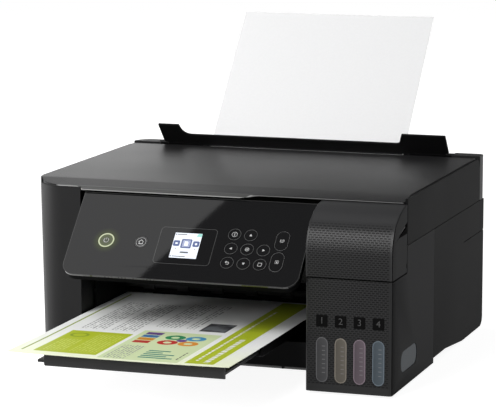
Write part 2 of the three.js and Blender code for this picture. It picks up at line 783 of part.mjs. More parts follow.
function keyList() {
  const keys = [
    ['power_button', powerKey[0], powerKey[1], 2 * powerKey[2], 2 * powerKey[2], 'lit'],
    ['home_button', homeKey[0], homeKey[1], 2 * homeKey[2], 2 * homeKey[2], 'panel'],
  ];
  roundKeys.forEach(([name, column, row]) => {
    keys.push([name, keyColumn + column * keyPitch, keyRow - row * keyPitch, 2 * keyRadius, 2 * keyRadius,
      'panel']);
  });
  longKeys.forEach(([name, z]) => keys.push([name, longKeyX, z, ...longKeySize, 'panel']));
  return keys;
}

function panelOutline(inset) {
  return outline([
    [panelLeft + inset, -inset],
    [panelLeft + inset, -panelHeight + inset, panelRadius - inset],
    [panelRight - inset, -panelHeight + inset, panelRadius - inset],
    [panelRight - inset, -inset],
  ], 6);
}

function panelFace() {
  const holes = keyList().map(([, x, z, width, height]) => prismY(keyOutline(x, z, width, height, keyGap),
    -1, panelFaceThickness + 1));
  const screen = prismY(outline([
    [screenBox.left, screenBox.bottom],
    [screenBox.right, screenBox.bottom],
    [screenBox.right, screenBox.top],
    [screenBox.left, screenBox.top],
  ]), -1, panelFaceThickness + 1);
  return cut(prismY(panelOutline(0), 0, panelFaceThickness), ...holes, screen);
}

function panelHousing() {
  const front = panelFaceThickness + fit;
  const shell = prismY(panelOutline(0.6), front, panelDepth);
  const hollow = prismY(panelOutline(0.6 + 2), front - 1, panelDepth - 2);
  const bosses = [
    rodX(panelPivotDepth, -panelPivotDrop, panelPinRadius + 2, panelLeft + 0.6, panelLeft + 8.6),
    rodX(panelPivotDepth, -panelPivotDrop, panelPinRadius + 2, panelRight - 8.6, panelRight - 0.6),
  ];
  const pins = [
    rodX(panelPivotDepth, -panelPivotDrop, panelPinRadius, bayLeft - 2, panelLeft + 2),
    rodX(panelPivotDepth, -panelPivotDrop, panelPinRadius, panelRight - 2, bayRight - 0.2),
  ];
  return join(cut(shell, hollow), ...bosses, ...pins);
}

function display() {
  const screen = slab(screenBox.left + fit, screenBox.right - fit, 0.2, panelFaceThickness + 1,
    screenBox.bottom + fit, screenBox.top - fit);
  const module = slab(screenBox.left - 3, screenBox.right + 3, panelFaceThickness + fit, 6.5,
    screenBox.bottom - 2, screenBox.top + 2);
  return join(screen, module);
}

function key(x, z, width, height) {
  const cap = prismY(keyOutline(x, z, width, height, 0), -0.1, panelFaceThickness + 0.6);
  const stem = rodY(x, z, 2.4, panelFaceThickness, panelDepth - 2 - keyTravel - 0.2, 10);
  return join(cap, stem);
}

// ---- output trays and the printed page ----

const trayCentre = pageOffset + 6.5;
const trayLeft = trayCentre - trayWidth / 2;
const trayRight = trayCentre + trayWidth / 2;

function outputTray() {
  const block = slab(trayLeft, trayRight, -trayReach, trayLength - trayReach, trayFloorHeight,
    trayFloorHeight + trayRailHeight);
  const channel = slab(trayLeft + 2.8, trayRight - 2.8, -trayReach - 1, trayLength - trayReach - 4,
    trayFloorHeight + trayWall, trayFloorHeight + trayRailHeight + 1);
  return cut(block, channel);
}

function trayExtension() {
  const left = trayCentre - extensionWidth / 2;
  const right = trayCentre + extensionWidth / 2;
  const plateZ = trayFloorHeight + trayWall + fit;
  const plate = slab(left, right, -extensionReach + 1, -extensionReach + extensionLength, plateZ, plateZ + 2.5);
  const skirt = prismX(outline([
    [-extensionReach, trayFloorHeight - 1, 3],
    [-extensionReach + lipThickness, trayFloorHeight - 1],
    [-extensionReach + lipThickness, trayFloorHeight - 1 + lipHeight],
    [-extensionReach, trayFloorHeight - 1 + lipHeight, 2],
  ], 3), left + lipInset, right);
  const ledge = slab(left + lipInset - 2, right + 5, -extensionReach + 0.5, -extensionReach + 9,
    pageHeight - fit - 2.6, pageHeight - fit);
  return join(plate, skirt, ledge);
}

function printedSheet() {
  return slab(pageOffset - sheetWidth / 2, pageOffset + sheetWidth / 2, -pageReach, sheetLength - pageReach,
    pageHeight, pageHeight + sheetThickness);
}

// ---- rear feeder ----

function leaningPlate(from, to, behind, thickness, x0, x1) {
  return prismX(outline([
    onFeed(from, -behind),
    onFeed(from, -behind - thickness),
    onFeed(to, -behind - thickness),
    onFeed(to, -behind),
  ]), x0, x1);
}

const pickupCentre = onFeed(feedExposed - sheetLength + pickupInset, pickupRadius + 0.5);

const cheekFront = frameY + 16;
const cheekTop = bodyHeight - 9.5;

function feederFrame() {
  const hopper = leaningPlate(-hopperDrop - hopperLength, -hopperDrop, hopperGap, hopperThickness,
    -hopperWidth / 2, hopperWidth / 2);
  const cheeks = [-1, 1].map((side) => {
    const outer = side * (hopperWidth / 2 + wall);
    const inner = side * (hopperWidth / 2 - 0.01);
    const cheek = prismX(outline([
      [cheekFront, floorTop + fit],
      [rearWallFront - seam - wall - fit, floorTop + fit],
      [rearWallFront - seam - wall - fit, portShelf + 2],
      [rearWallFront - fit, portShelf + 4],
      [rearWallFront - fit, cheekTop],
      [scannerPivot[0] + 18, cheekTop],
      [scannerPivot[0] + 14, cheekTop - 8],
      [bodyDepth - 49, seamHeight - 2],
      [cheekFront, seamHeight - 2],
    ]), Math.min(inner, outer), Math.max(inner, outer));
    const lug = prismX(outline([
      [scannerPivot[0] - 5, scannerPivot[1] - 5, 4],
      [scannerPivot[0] + 14, scannerPivot[1] - 12],
      [scannerPivot[0] + 14, scannerPivot[1] - 2],
      [scannerPivot[0] + 6, scannerPivot[1] + 3.8],
      [scannerPivot[0] - 5, scannerPivot[1] + 3.8, 4],
    ]), Math.min(inner, outer), Math.max(inner, outer));
    return join(cheek, lug);
  });
  const pivotHole = rodX(scannerPivot[0], scannerPivot[1], 2.5 + fit, -bodyWidth, bodyWidth, 12);
  const shaftHole = rodX(...pickupCentre, shaftRadius + fit, -bodyWidth, bodyWidth, 16);
  return cut(join(hopper, ...cheeks), pivotHole, shaftHole);
}

function pickupRoller() {
  const reach = hopperWidth / 2 + wall - 0.5;
  return join(
    rodX(...pickupCentre, shaftRadius, -reach, reach, 12),
    rodX(...pickupCentre, pickupRadius, -18, 18, 28),
  );
}

const feederGroup = new THREE.Group();
feederGroup.position.set(0, bodyDepth, feedSlotHeight);
feederGroup.rotation.x = -feedLean;
machine.add(feederGroup);

function feedSheet() {
  return slab(-sheetWidth / 2, sheetWidth / 2, -sheetThickness / 2, sheetThickness / 2,
    feedExposed - sheetLength, feedExposed);
}

function edgeGuide(side) {
  const face = sheetWidth / 2 + 0.4;
  const upright = slab(face, face + 2.5, -guideHeight, hopperGap - fit, -90, -14);
  const base = slab(face - 14, face + 12, 0.6, hopperGap - fit, -90, -14);
  const guide = join(upright, base);
  return side < 0 ? guide.mirror([1, 0, 0]) : guide;
}

function paperSupport() {
  const near = hopperGap + hopperThickness + 0.4;
  const plate = slab(-supportWidth / 2, supportWidth / 2, near, near + 2.2, supportRise - supportLength,
    supportRise);
  const lip = slab(-20, 20, near - 2.5, near + 2.2, supportRise - 3, supportRise);
  return join(plate, lip);
}

const guardGroup = new THREE.Group();
guardGroup.position.set(0, ...guardPivot);
guardGroup.rotation.x = guardLean;
machine.add(guardGroup);

function feederGuard() {
  const half = guardWidth / 2;
  const shape = outline([
    [-half, 0],
    [half, 0],
    [half, guardHeight],
    [108, guardHeight, 1],
    [103.5, guardDip, 4],
    [-130, guardDip, 10],
    [-133, guardHeight, 1],
    [-half - 1.5, guardHeight],
  ]);
  const plate = prismY(shape, -guardThickness / 2, guardThickness / 2);
  const barrel = rodX(0, 0, 1.4, -half + 3.6, half - 3.6, 12);
  const pinClear = [-1, 1].map((side) => slab(Math.min(side * (half - 3.4), side * (half + 2)),
    Math.max(side * (half - 3.4), side * (half + 2)), -3, 3, -3, 2.2));
  return cut(join(plate, barrel), ...pinClear);
}

// ---- print mechanism ----

function mainFrame() {
  const left = frameLeft + sheetMetal / 2;
  const right = frameRight - sheetMetal / 2;
  const plate = slab(left, right, frameY, frameY + sheetMetal, frameBottom, frameTop);
  const rail = slab(left, right, frameY - 13.5, frameY + 1, 84, 86);
  const lip = slab(left, right, frameY - 4, frameY + 1, frameTop - sheetMetal, frameTop);
  const ends = [frameLeft, frameRight - sheetMetal].map((x) => slab(x, x + sheetMetal, exitRollerY - 12,
    frameY + sheetMetal / 2, floorTop + fit, frameTop - 1));
  const holes = [
    rodX(feedRollerY, rollerZ, shaftRadius + fit, -bodyWidth, bodyWidth, 16),
    rodX(exitRollerY, rollerZ - 5, shaftRadius + fit, -bodyWidth, bodyWidth, 16),
    rodY(pulleyX, pulleyZ, 1.8, frameY - 5, frameY + 5, 10),
    rodY(motorX, pulleyZ, 1.8, frameY - 5, frameY + 5, 10),
  ];
  return cut(join(plate, rail, lip, ...ends), ...holes);
}

const pulleyX = frameRight - 16;
const pulleyZ = 104;
const motorX = frameLeft + 15.2;
const platenFront = exitRollerY + 9;
const platenBack = feedRollerY - 10;

function platen() {
  const beam = slab(frameLeft + sheetMetal + fit, frameRight - sheetMetal - fit, platenFront, platenBack, 47, 52);
  const top = slab(bayLeft + 5, tankLeft - 1, platenFront, platenBack, 51, platenTop - 2);
  const ribs = [];
  for (let x = bayLeft + 15; x < tankLeft - 5; x += 22) {
    ribs.push(slab(x, x + 1.6, platenFront, platenBack, platenTop - 3, platenTop));
  }
  return join(beam, top, ...ribs);
}

function capStation() {
  const left = tankLeft + 8;
  const right = tankLeft + 64;
  const base = slab(left, right, platenFront + 2, platenBack - 2, 52 + fit, 60);
  const cups = [left + 5, left + 30].map((x) => cut(
    slab(x, x + 21, platenFront + 5, platenBack - 5, 59, 65),
    slab(x + 2, x + 19, platenFront + 7, platenBack - 7, 61, 66),
  ));
  return join(base, ...cups);
}

function roller(y, z, radius, bands) {
  const shaft = rodX(y, z, shaftRadius, frameLeft + 0.3, frameRight - 0.3, 12);
  return join(shaft, ...bands.map(([x0, x1]) => rodX(y, z, radius, x0, x1, 14)));
}

function gear(y, z, teeth, radius, x0, x1) {
  const points = [];
  for (let tooth = 0; tooth < teeth; tooth += 1) {
    [[-0.3, radius - 1], [-0.14, radius + 1], [0.14, radius + 1], [0.3, radius - 1]].forEach(([step, r]) => {
      const angle = ((tooth + step) * 2 * Math.PI) / teeth;
      points.push(new THREE.Vector2(y + r * Math.cos(angle), z + r * Math.sin(angle)));
    });
  }
  return prismX(new THREE.Shape(points), x0, x1);
}

function feedRoller() {
  const wheel = gear(feedRollerY, rollerZ, 24, 12, frameLeft + 5, frameLeft + 9);
  return join(roller(feedRollerY, rollerZ, feedRollerRadius, [[bayLeft + 7, tankLeft - 4]]), wheel);
}

function exitRoller() {
  const bands = [];
  for (let x = bayLeft + 18; x < tankLeft - 20; x += 36) {
    bands.push([x, x + 12]);
  }
  return roller(exitRollerY, rollerZ - 5, exitRollerRadius, bands);
}

function feedMotor() {
  const y = feedRollerY + 16;
  const can = rodX(y, 44, 13, frameLeft + 14, frameLeft + 42, 24);
  const shaft = rodX(y, 44, 2, frameLeft + 4, frameLeft + 15, 10);
  const stand = slab(frameLeft + 18, frameLeft + 38, y - 8, y + 8, floorTop + fit, 40);
  return join(can, shaft, stand);
}

const beltFront = frameY - 5.6;
const beltBack = frameY - 0.8;

function carriageMotor() {
  return join(
    rodY(motorX, pulleyZ, 9, frameY + sheetMetal + fit, frameY + 30, 20),
    rodY(motorX, pulleyZ, 1.4, beltBack - 1, frameY + sheetMetal + 1, 10),
    rodY(motorX, pulleyZ, pulleyRadius, beltFront, beltBack, 20),
  );
}

function beltPulley() {
  return join(
    rodY(pulleyX, pulleyZ, pulleyRadius, beltFront, beltBack, 24),
    rodY(pulleyX, pulleyZ, 1.4, beltBack - 1, frameY + sheetMetal + 1, 10),
  );
}

function carriageBelt() {
  const inner = pulleyRadius + fit;
  const outer = inner + 1.4;
  const loop = (radius, y0, y1) => prismY(rounded(motorX - radius, pulleyX + radius, pulleyZ - radius,
    pulleyZ + radius, radius - 0.01, 8), y0, y1);
  return cut(loop(outer, beltFront, beltBack), loop(inner, beltFront - 1, beltBack + 1));
}

function carriage() {
  const left = carriageOffset - carriageWidth / 2;
  const right = carriageOffset + carriageWidth / 2;
  const back = beltFront - fit;
  const block = prismX(outline([
    [platenFront - 4, platenTop + 5],
    [feedRollerY - 12, platenTop + 5],
    [feedRollerY - 8, platenTop + 10],
    [back, platenTop + 10],
    [back, 118],
    [back - 6, 122],
    [platenFront + 4, 122],
    [platenFront - 4, 112],
  ]), left, right);
  const railSlot = slab(left - 1, right + 1, frameY - 13.8, frameY, 84 - fit, 86 + fit);
  return cut(block, railSlot);
}

// ---- assembly ----

add('base_case', baseCase(), 'inner');
add('left_side_cover', leftSideCover(), 'shell');
add('right_side_cover', rightSideCover(), 'shell');
add('rear_cover', rearCover(), 'shell');
add('foot_front_left', foot(bayLeft + 15, bodySetback + 40, bellyHeight), 'rubber');
add('foot_front_right', foot(halfWidth - 38, 36, tankUnitBottom), 'rubber');
add('foot_rear_left', foot(-halfWidth + 38, bodyDepth - 42, rearBellyHeight), 'rubber');
add('foot_rear_right', foot(halfWidth - 38, bodyDepth - 42, rearBellyHeight), 'rubber');
add('power_supply', powerSupply(), 'inner');
add('mainboard', mainboard(), 'board');

add('tank_housing', tankHousing(), 'shell');
add('tank_cover', tankCover(), 'shell');
for (let index = 0; index < tankCount; index += 1) {
  add(`ink_tank_${index + 1}`, inkTank(index), 'ink');
  add(`tank_cap_${index + 1}`, tankCap(index), 'rubber');
}

add('scanner_case', scannerCase(), 'shell');
add('scanner_glass', scannerGlass(), 'glass');
add('scan_bar', scanBar(), 'inner');
add('document_cover', documentCover(), 'shell');
add('document_pad', documentPad(), 'white');

add('panel_housing', panelHousing(), 'inner', panelGroup);
add('panel_face', panelFace(), 'panel', panelGroup);
add('display', display(), 'screen', panelGroup);
keyList().forEach(([name, x, z, width, height, look]) => add(name, key(x, z, width, height), look, panelGroup));

add('output_tray', outputTray(), 'inner');
add('tray_extension', trayExtension(), 'inner');
add('printed_sheet', printedSheet(), 'white');

add('feeder_frame', feederFrame(), 'inner');
add('pickup_roller', pickupRoller(), 'rubber');
add('feed_sheet', feedSheet(), 'white', feederGroup);
add('edge_guide_left', edgeGuide(-1), 'inner', feederGroup);
add('edge_guide_right', edgeGuide(1), 'inner', feederGroup);
add('paper_support', paperSupport(), 'shell', feederGroup);
add('feeder_guard', feederGuard(), 'inner', guardGroup);

add('main_frame', mainFrame(), 'steel');
add('platen', platen(), 'inner');
add('cap_station', capStation(), 'inner');
add('feed_roller', feedRoller(), 'steel');
add('exit_roller', exitRoller(), 'rubber');
add('feed_motor', feedMotor(), 'steel');
add('carriage_motor', carriageMotor(), 'steel');
add('belt_pulley', beltPulley(), 'inner');
add('carriage_belt', carriageBelt(), 'rubber');
add('carriage', carriage(), 'inner');

// The origin goes on the table, under the middle of everything that the machine reaches over.
const sheetTopBack = bodyDepth + feedExposed * Math.sin(feedLean) + (sheetThickness / 2) * Math.cos(feedLean);
machine.position.y = -(sheetTopBack - pageReach) / 2;

export default machine;
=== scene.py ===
import math

import bpy
from mathutils import Matrix, Vector


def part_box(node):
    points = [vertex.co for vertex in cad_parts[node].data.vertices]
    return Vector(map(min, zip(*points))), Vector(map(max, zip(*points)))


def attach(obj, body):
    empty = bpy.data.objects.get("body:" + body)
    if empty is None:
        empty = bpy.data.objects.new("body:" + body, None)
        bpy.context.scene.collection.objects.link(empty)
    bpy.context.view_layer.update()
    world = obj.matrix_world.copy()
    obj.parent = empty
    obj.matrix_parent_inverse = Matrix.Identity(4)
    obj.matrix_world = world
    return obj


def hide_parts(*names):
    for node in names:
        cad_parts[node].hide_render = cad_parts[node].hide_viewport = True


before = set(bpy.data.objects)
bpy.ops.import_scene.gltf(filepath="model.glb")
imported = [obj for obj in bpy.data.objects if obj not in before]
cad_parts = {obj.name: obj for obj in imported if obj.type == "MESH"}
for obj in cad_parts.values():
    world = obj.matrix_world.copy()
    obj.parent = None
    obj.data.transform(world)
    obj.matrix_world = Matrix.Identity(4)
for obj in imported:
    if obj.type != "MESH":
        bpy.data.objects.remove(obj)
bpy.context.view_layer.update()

# ---- Lower case ----
# One black moulding that stands on the feet and holds the tray bay open at the front.
# Its faces carry a fine spark-eroded grain; the inside of the bay is the same plastic.

MM = 0.001


class Wire:
    """A value, colour or vector in a finish, so that shader maths reads as an expression."""

    def __init__(self, finish, socket):
        self.finish = finish
        self.socket = socket

    def maths(self, operation, *values):
        return self.finish.node("Math", {"operation": operation}, dict(enumerate(values)))

    def __add__(self, other):
        return self.maths("ADD", self, other)

    def __sub__(self, other):
        return self.maths("SUBTRACT", self, other)

    def __rsub__(self, other):
        return self.maths("SUBTRACT", other, self)

    def __mul__(self, other):
        return self.maths("MULTIPLY", self, other)

    def __truediv__(self, other):
        return self.maths("DIVIDE", self, other)

    def size(self):
        return self.maths("ABSOLUTE", self)

    def fraction(self):
        return self.maths("FRACT", self)

    def greater(self, other):
        return self.maths("MAXIMUM", self, other)

    def reach(self, other):
        """The length of the line that runs this far across and the other far up."""
        return self.maths("SQRT", self * self + other * other)

    def below(self, edge, soft):
        """1 under the edge and 0 over it, turning smoothly across the soft width."""
        settings = {"interpolation_type": "SMOOTHSTEP"}
        sockets = {0: self, 1: edge - soft, 2: edge + soft, 3: 1.0, 4: 0.0}
        return self.finish.node("MapRange", settings, sockets)

    def above(self, edge, soft):
        return 1 - self.below(edge, soft)

    def between(self, low, high, soft):
        return self.below(high, soft) - self.below(low, soft)


class Nodes:
    """The nodes of one finish, or of the studio round the printer."""

    def __init__(self, tree):
        self.tree = tree

    def feed(self, socket, value):
        if isinstance(value, Wire):
            self.tree.links.new(value.socket, socket)
        else:
            socket.default_value = value

    def node(self, kind, settings, sockets, output=0):
        made = self.tree.nodes.new("ShaderNode" + kind)
        for name, value in settings.items():
            setattr(made, name, value)
        for name, value in sockets.items():
            self.feed(made.inputs[name], value)
        return Wire(self, made.outputs[output])


class Finish(Nodes):
    """A material with one Principled shader."""

    def __init__(self, name, colour, roughness, metallic=0.0, coat=0.0, specular=0.5,
                 coat_roughness=0.06):
        self.material = bpy.data.materials.new(name)
        self.material.use_nodes = True
        super().__init__(self.material.node_tree)
        self.shader = self.tree.nodes["Principled BSDF"]
        self.vary("Base Color", (*colour, 1.0))
        self.vary("Roughness", roughness)
        self.vary("Metallic", metallic)
        self.vary("Coat Weight", coat)
        self.vary("Coat Roughness", coat_roughness)
        self.vary("Specular IOR Level", specular)

    def vary(self, socket, value):
        self.feed(self.shader.inputs[socket], value)

    def place(self):
        """The point on the piece, and its three coordinates."""
        point = self.node("TexCoord", {}, {}, "Object")
        return (point, *[self.node("SeparateXYZ", {}, {0: point}, axis) for axis in range(3)])

    def mix(self, mask, under, over):
        colours = [value if isinstance(value, Wire) else (*value, 1.0) for value in (under, over)]
        sockets = {0: mask, 6: colours[0], 7: colours[1]}
        return self.node("Mix", {"data_type": "RGBA"}, sockets, 2)

    def speckle(self, scale, under, over, detail=2.0):
        """Colours the piece in soft patches of two colours."""
        self.vary("Base Color", self.mix(self.noise(scale, detail), under, over))

    def shine(self, mask, under, over, strength=1.0):
        """Lights the piece from within, in one colour off the mask and another on it."""
        self.vary("Emission Color", self.mix(mask, under, over))
        self.vary("Emission Strength", strength)

    def noise(self, scale, detail=2.0):
        return self.node("TexNoise", {}, {0: self.place()[0], "Scale": scale, "Detail": detail})

    def bump(self, height, strength, distance):
        sockets = {"Height": height, "Strength": strength, "Distance": distance}
        self.vary("Normal", self.node("Bump", {}, sockets))


def grey(level):
    return (level, level, level)


def scaled(factor, colour):
    return tuple(factor * value for value in colour)


GRAIN = 1500.0


def moulded(name, colour, roughness, grain=0.25, specular=0.15):
    """Moulded plastic: pebbled grain, faint flow shading and slightly uneven sheen."""
    finish = Finish(name, colour, roughness, specular=specular)
    flow = finish.noise(9.0)
    pebble = finish.noise(GRAIN)
    unevenness = flow * 0.6 + pebble * 0.4
    finish.shade = finish.mix(unevenness, scaled(0.85, colour), scaled(1.25, colour))
    finish.vary("Base Color", finish.shade)
    finish.vary("Roughness", flow * 0.08 + pebble * 0.06 + (roughness - 0.07))
    finish.bump(pebble, grain, 0.0002)
    return finish


def dress(node, finish, edge=0.5 * MM, fold=30):
    """Gives a CAD piece its finish, and rounds the edges that the mould leaves soft."""
    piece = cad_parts[node]
    piece.data.materials.clear()
    piece.data.materials.append(finish.material)
    if "custom_normal" in piece.data.attributes:
        piece.data.attributes.remove(piece.data.attributes["custom_normal"])
    piece.data.polygons.foreach_set("use_smooth", [True] * len(piece.data.polygons))
    weld = piece.modifiers.new("joined corners", "WELD")
    weld.merge_threshold = 0.004 * MM
    flat = piece.modifiers.new("flat faces", "DECIMATE")
    flat.decimate_type = "DISSOLVE"
    flat.angle_limit = math.radians(0.6)
    soft = piece.modifiers.new("soft edges", "BEVEL")
    soft.width = edge
    soft.segments = 2
    soft.angle_limit = math.radians(fold)
    soft.harden_normals = True


black_plastic = moulded("black plastic", (0.006, 0.006, 0.0064), 0.5, specular=0.06)
dress("base_case", black_plastic)

# ---- Side and rear covers ----
# Charcoal covers clipped round the case. The left one ends at the front in a rounded column,
# and leans in a little towards the table. The vents, hatch and screws of the rear one, and the
# seams and groove of the right one, are painted shade, drawn dark in the finish and not
# cut into the solid.

CRISP = 0.2 * MM
side_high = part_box("right_side_cover")[1]
GROOVE = 101 * MM
GROOVE_LENGTH = 82 * MM
charcoal_plastic = moulded("charcoal plastic", (0.0092, 0.0092, 0.0096), 0.5, 0.3, 0.011)
_, x, y, z = charcoal_plastic.place()
# The parting seam and the groove along the right side are painted shade, near-black lines in the
# colour.
groove_shade = z.between(GROOVE - 0.7 * MM, GROOVE + 0.7 * MM, CRISP)
groove_shade = groove_shade * y.above(side_high.y - GROOVE_LENGTH, CRISP)
seam_shade = z.between(side_high.z - 0.7 * MM, side_high.z + 1.3 * MM, CRISP) + groove_shade
seam_shade = seam_shade * x.above(side_high.x - 1 * MM, CRISP)
shaded = charcoal_plastic.mix(seam_shade, charcoal_plastic.shade, grey(0.0008))
charcoal_plastic.vary("Base Color", shaded)
dress("right_side_cover", charcoal_plastic, 0.3 * MM)

rear_plastic = moulded("rear cover plastic", (0.012, 0.012, 0.0124), 0.5, 0.3, 0.1)
_, x, y, z = rear_plastic.place()
back_face = y.above(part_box("rear_cover")[1].y - 2 * MM, 0.5 * MM)
slots = (x / (7 * MM)).fraction().below(0.38, 0.06)
vents = slots * x.between(-63 * MM, 63 * MM, CRISP) * z.between(20 * MM, 44 * MM, 0.3 * MM)


def hatch(line):
    across = x.between(-99 * MM - line, 99 * MM + line, 0.1 * MM)
    return across * z.between(58 * MM - line, 142 * MM + line, 0.1 * MM)


SCREW_X, SCREW_RISE, SCREW_MIDDLE = 118 * MM, 60 * MM, 91 * MM
screws = (x.size() - SCREW_X).reach((z - SCREW_MIDDLE).size() - SCREW_RISE).below(3.2 * MM, CRISP)
# The vents, the hatch's outline and the screw holes are painted shade, dark in the colour.
hollow_shade = (vents + hatch(0.5 * MM) - hatch(0.0) + screws) * back_face
rear_plastic.vary("Base Color", rear_plastic.mix(hollow_shade, rear_plastic.shade, grey(0.003)))
rear_plastic.bump(rear_plastic.noise(GRAIN) * 0.2 - hollow_shade, 0.4, 0.0006)
dress("rear_cover", rear_plastic)
column_plastic = moulded("left cover plastic", (0.0045, 0.0045, 0.0048), 0.4, 0.3, 0.2)
dress("left_side_cover", column_plastic, 0.8 * MM)

# ---- Feet ----
# Four short rubber discs pressed into the underside, matt and slightly dusty. They keep the
# printer from sliding on the table.

foot_rubber = Finish("foot rubber", grey(0.012), 0.85)
foot_rubber.speckle(60.0, grey(0.008), (0.035, 0.034, 0.032), 6.0)
foot_rubber.bump(foot_rubber.noise(900.0), 0.3, 0.0002)
for foot in ("foot_front_left", "foot_front_right", "foot_rear_left", "foot_rear_right"):
    dress(foot, foot_rubber, 0.8 * MM)

# ---- Power supply and main board ----
# The sealed supply has the mains inlet moulded on; the green board stands on its edge at the
# right with the data port soldered to it.

inlet_plastic = moulded("inlet plastic", grey(0.014), 0.35, 0.12)
dress("power_supply", inlet_plastic, 0.3 * MM)

board_resin = Finish("board resin", (0.012, 0.07, 0.028), 0.35, coat=0.3)
_, x, _, z = board_resin.place()
board_low, board_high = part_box("mainboard")
tracks = (z / (3.2 * MM)).fraction().below(0.22, 0.04) * board_resin.noise(90.0).below(0.5, 0.02)
board_resin.vary("Base Color", board_resin.mix(tracks, (0.010, 0.06, 0.024), (0.03, 0.13, 0.05)))
port = x.below(board_high.x - 3.2 * MM, 0.1 * MM) * z.below(board_low.z + 35 * MM, 0.1 * MM)
board_resin.vary("Metallic", port)
board_resin.bump(tracks, 0.3, 0.00005)
dress("mainboard", board_resin, 0.15 * MM)

# ---- Ink tank unit ----
# The moulded box at the right end of the front, and the cover over its filler caps. Both fronts
# are pressed with a weave of short dashes. The finger grip and catch on the cover's side, and the
# seam between cover and box, are painted shade, drawn dark in the finish; the solid has only a
# narrow notch there. The top behind the front band is painted paler as light, and thin lines
# along the side edges and the foot are painted highlights.

TANK_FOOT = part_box("tank_housing")[0].z
unit_low, unit_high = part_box("tank_cover")
ROW_PITCH, DASH_PITCH = 2.0 * MM, 3.9 * MM
GRIP_HEIGHT, GRIP_SLOPE = 36.5 * MM, 10.5 / 28


def woven_plastic(name, colour):
    finish = Finish(name, colour, 0.42, specular=0.013, coat_roughness=0.38)
    _, x, y, z = finish.place()
    row = z / ROW_PITCH
    step = row - row.fraction()
    along = (x / DASH_PITCH + step * 0.5).fraction()
    dash = (along - 0.5).size().below(0.36, 0.06) * (row.fraction() - 0.5).size().below(0.26, 0.1)
    front = y.below(unit_low.y + 11 * MM, 3 * MM)
    field = x.between(unit_low.x + 1.6 * MM, unit_high.x - 3.2 * MM, 0.3 * MM)
    field = field * z.above(TANK_FOOT + 7 * MM, 0.5 * MM)
    weave = dash * front * field
    # Thin lines along both side edges and along the foot are painted highlights.
    left_rim_highlight = x.between(unit_low.x + 0.7 * MM, unit_low.x + 1.5 * MM, CRISP)
    right_rim_highlight = x.between(unit_high.x - 1.5 * MM, unit_high.x - 0.7 * MM, CRISP)
    rim_highlight = left_rim_highlight + right_rim_highlight + z.between(TANK_FOOT + 0.5 * MM, TANK_FOOT + 1.3 * MM, CRISP)

    # The seam, the finger grip and the catch are painted shade, near-black in the colour.
    seam = z.between(unit_low.z - 0.9 * MM, unit_low.z + 0.5 * MM, CRISP)
    seam = seam * y.below(unit_high.y, CRISP)
    side = x.above(unit_high.x - 0.9 * MM, CRISP)
    grip_foot, grip_front = unit_low.z + GRIP_HEIGHT, unit_low.y + 20 * MM
    grip_back = unit_high.y - 1 * MM
    slant = (z - (y - grip_front) * GRIP_SLOPE).below(grip_foot, 0.3 * MM)
    grip = y.between(grip_front, grip_back, 0.3 * MM) * z.above(grip_foot, 0.3 * MM) * slant
    catch = y.between(grip_back - 1.8 * MM, grip_back, CRISP)
    catch = catch * z.between(unit_low.z + 4.5 * MM, unit_low.z + 8.5 * MM, CRISP)
    gap_shade = seam + (grip + catch) * side

    grain = finish.noise(GRAIN)
    shade = finish.mix(grain, scaled(0.9, colour), scaled(1.5, colour))
    # The top behind the front band is painted 3.6 times paler: painted light.
    shade = finish.mix(y.above(unit_low.y + 9 * MM, 7 * MM), shade, scaled(3.6, colour))
    shade = finish.mix(weave * 0.5, shade, scaled(0.45, colour))
    shade = finish.mix(rim_highlight, shade, scaled(2.4, colour))
    finish.vary("Base Color", finish.mix(gap_shade, shade, grey(0.0006)))
    front_coat = x.below(unit_high.x - 0.7 * MM, 0.3 * MM)
    finish.vary("Coat Weight", front_coat * (1 - weave * 0.7) * 0.5)
    finish.vary("Roughness", grain * 0.1 + weave * 0.1 + gap_shade * 0.4 + 0.45)
    finish.bump(grain * 0.2 - weave, 0.4, 0.0003)
    return finish


tank_plastic = woven_plastic("woven charcoal plastic", (0.0062, 0.0062, 0.0065))
dress("tank_housing", tank_plastic, 0.4 * MM)
dress("tank_cover", tank_plastic, 0.8 * MM, 25)

# ---- Ink tanks ----
# Four blown tanks of smoky clear plastic, seen through the slots in the front. Each lens has
# level marks pressed in it, and takes the tint of the ink behind it. Each lens is also painted
# darker on its left and paler on its right, as shade and light.

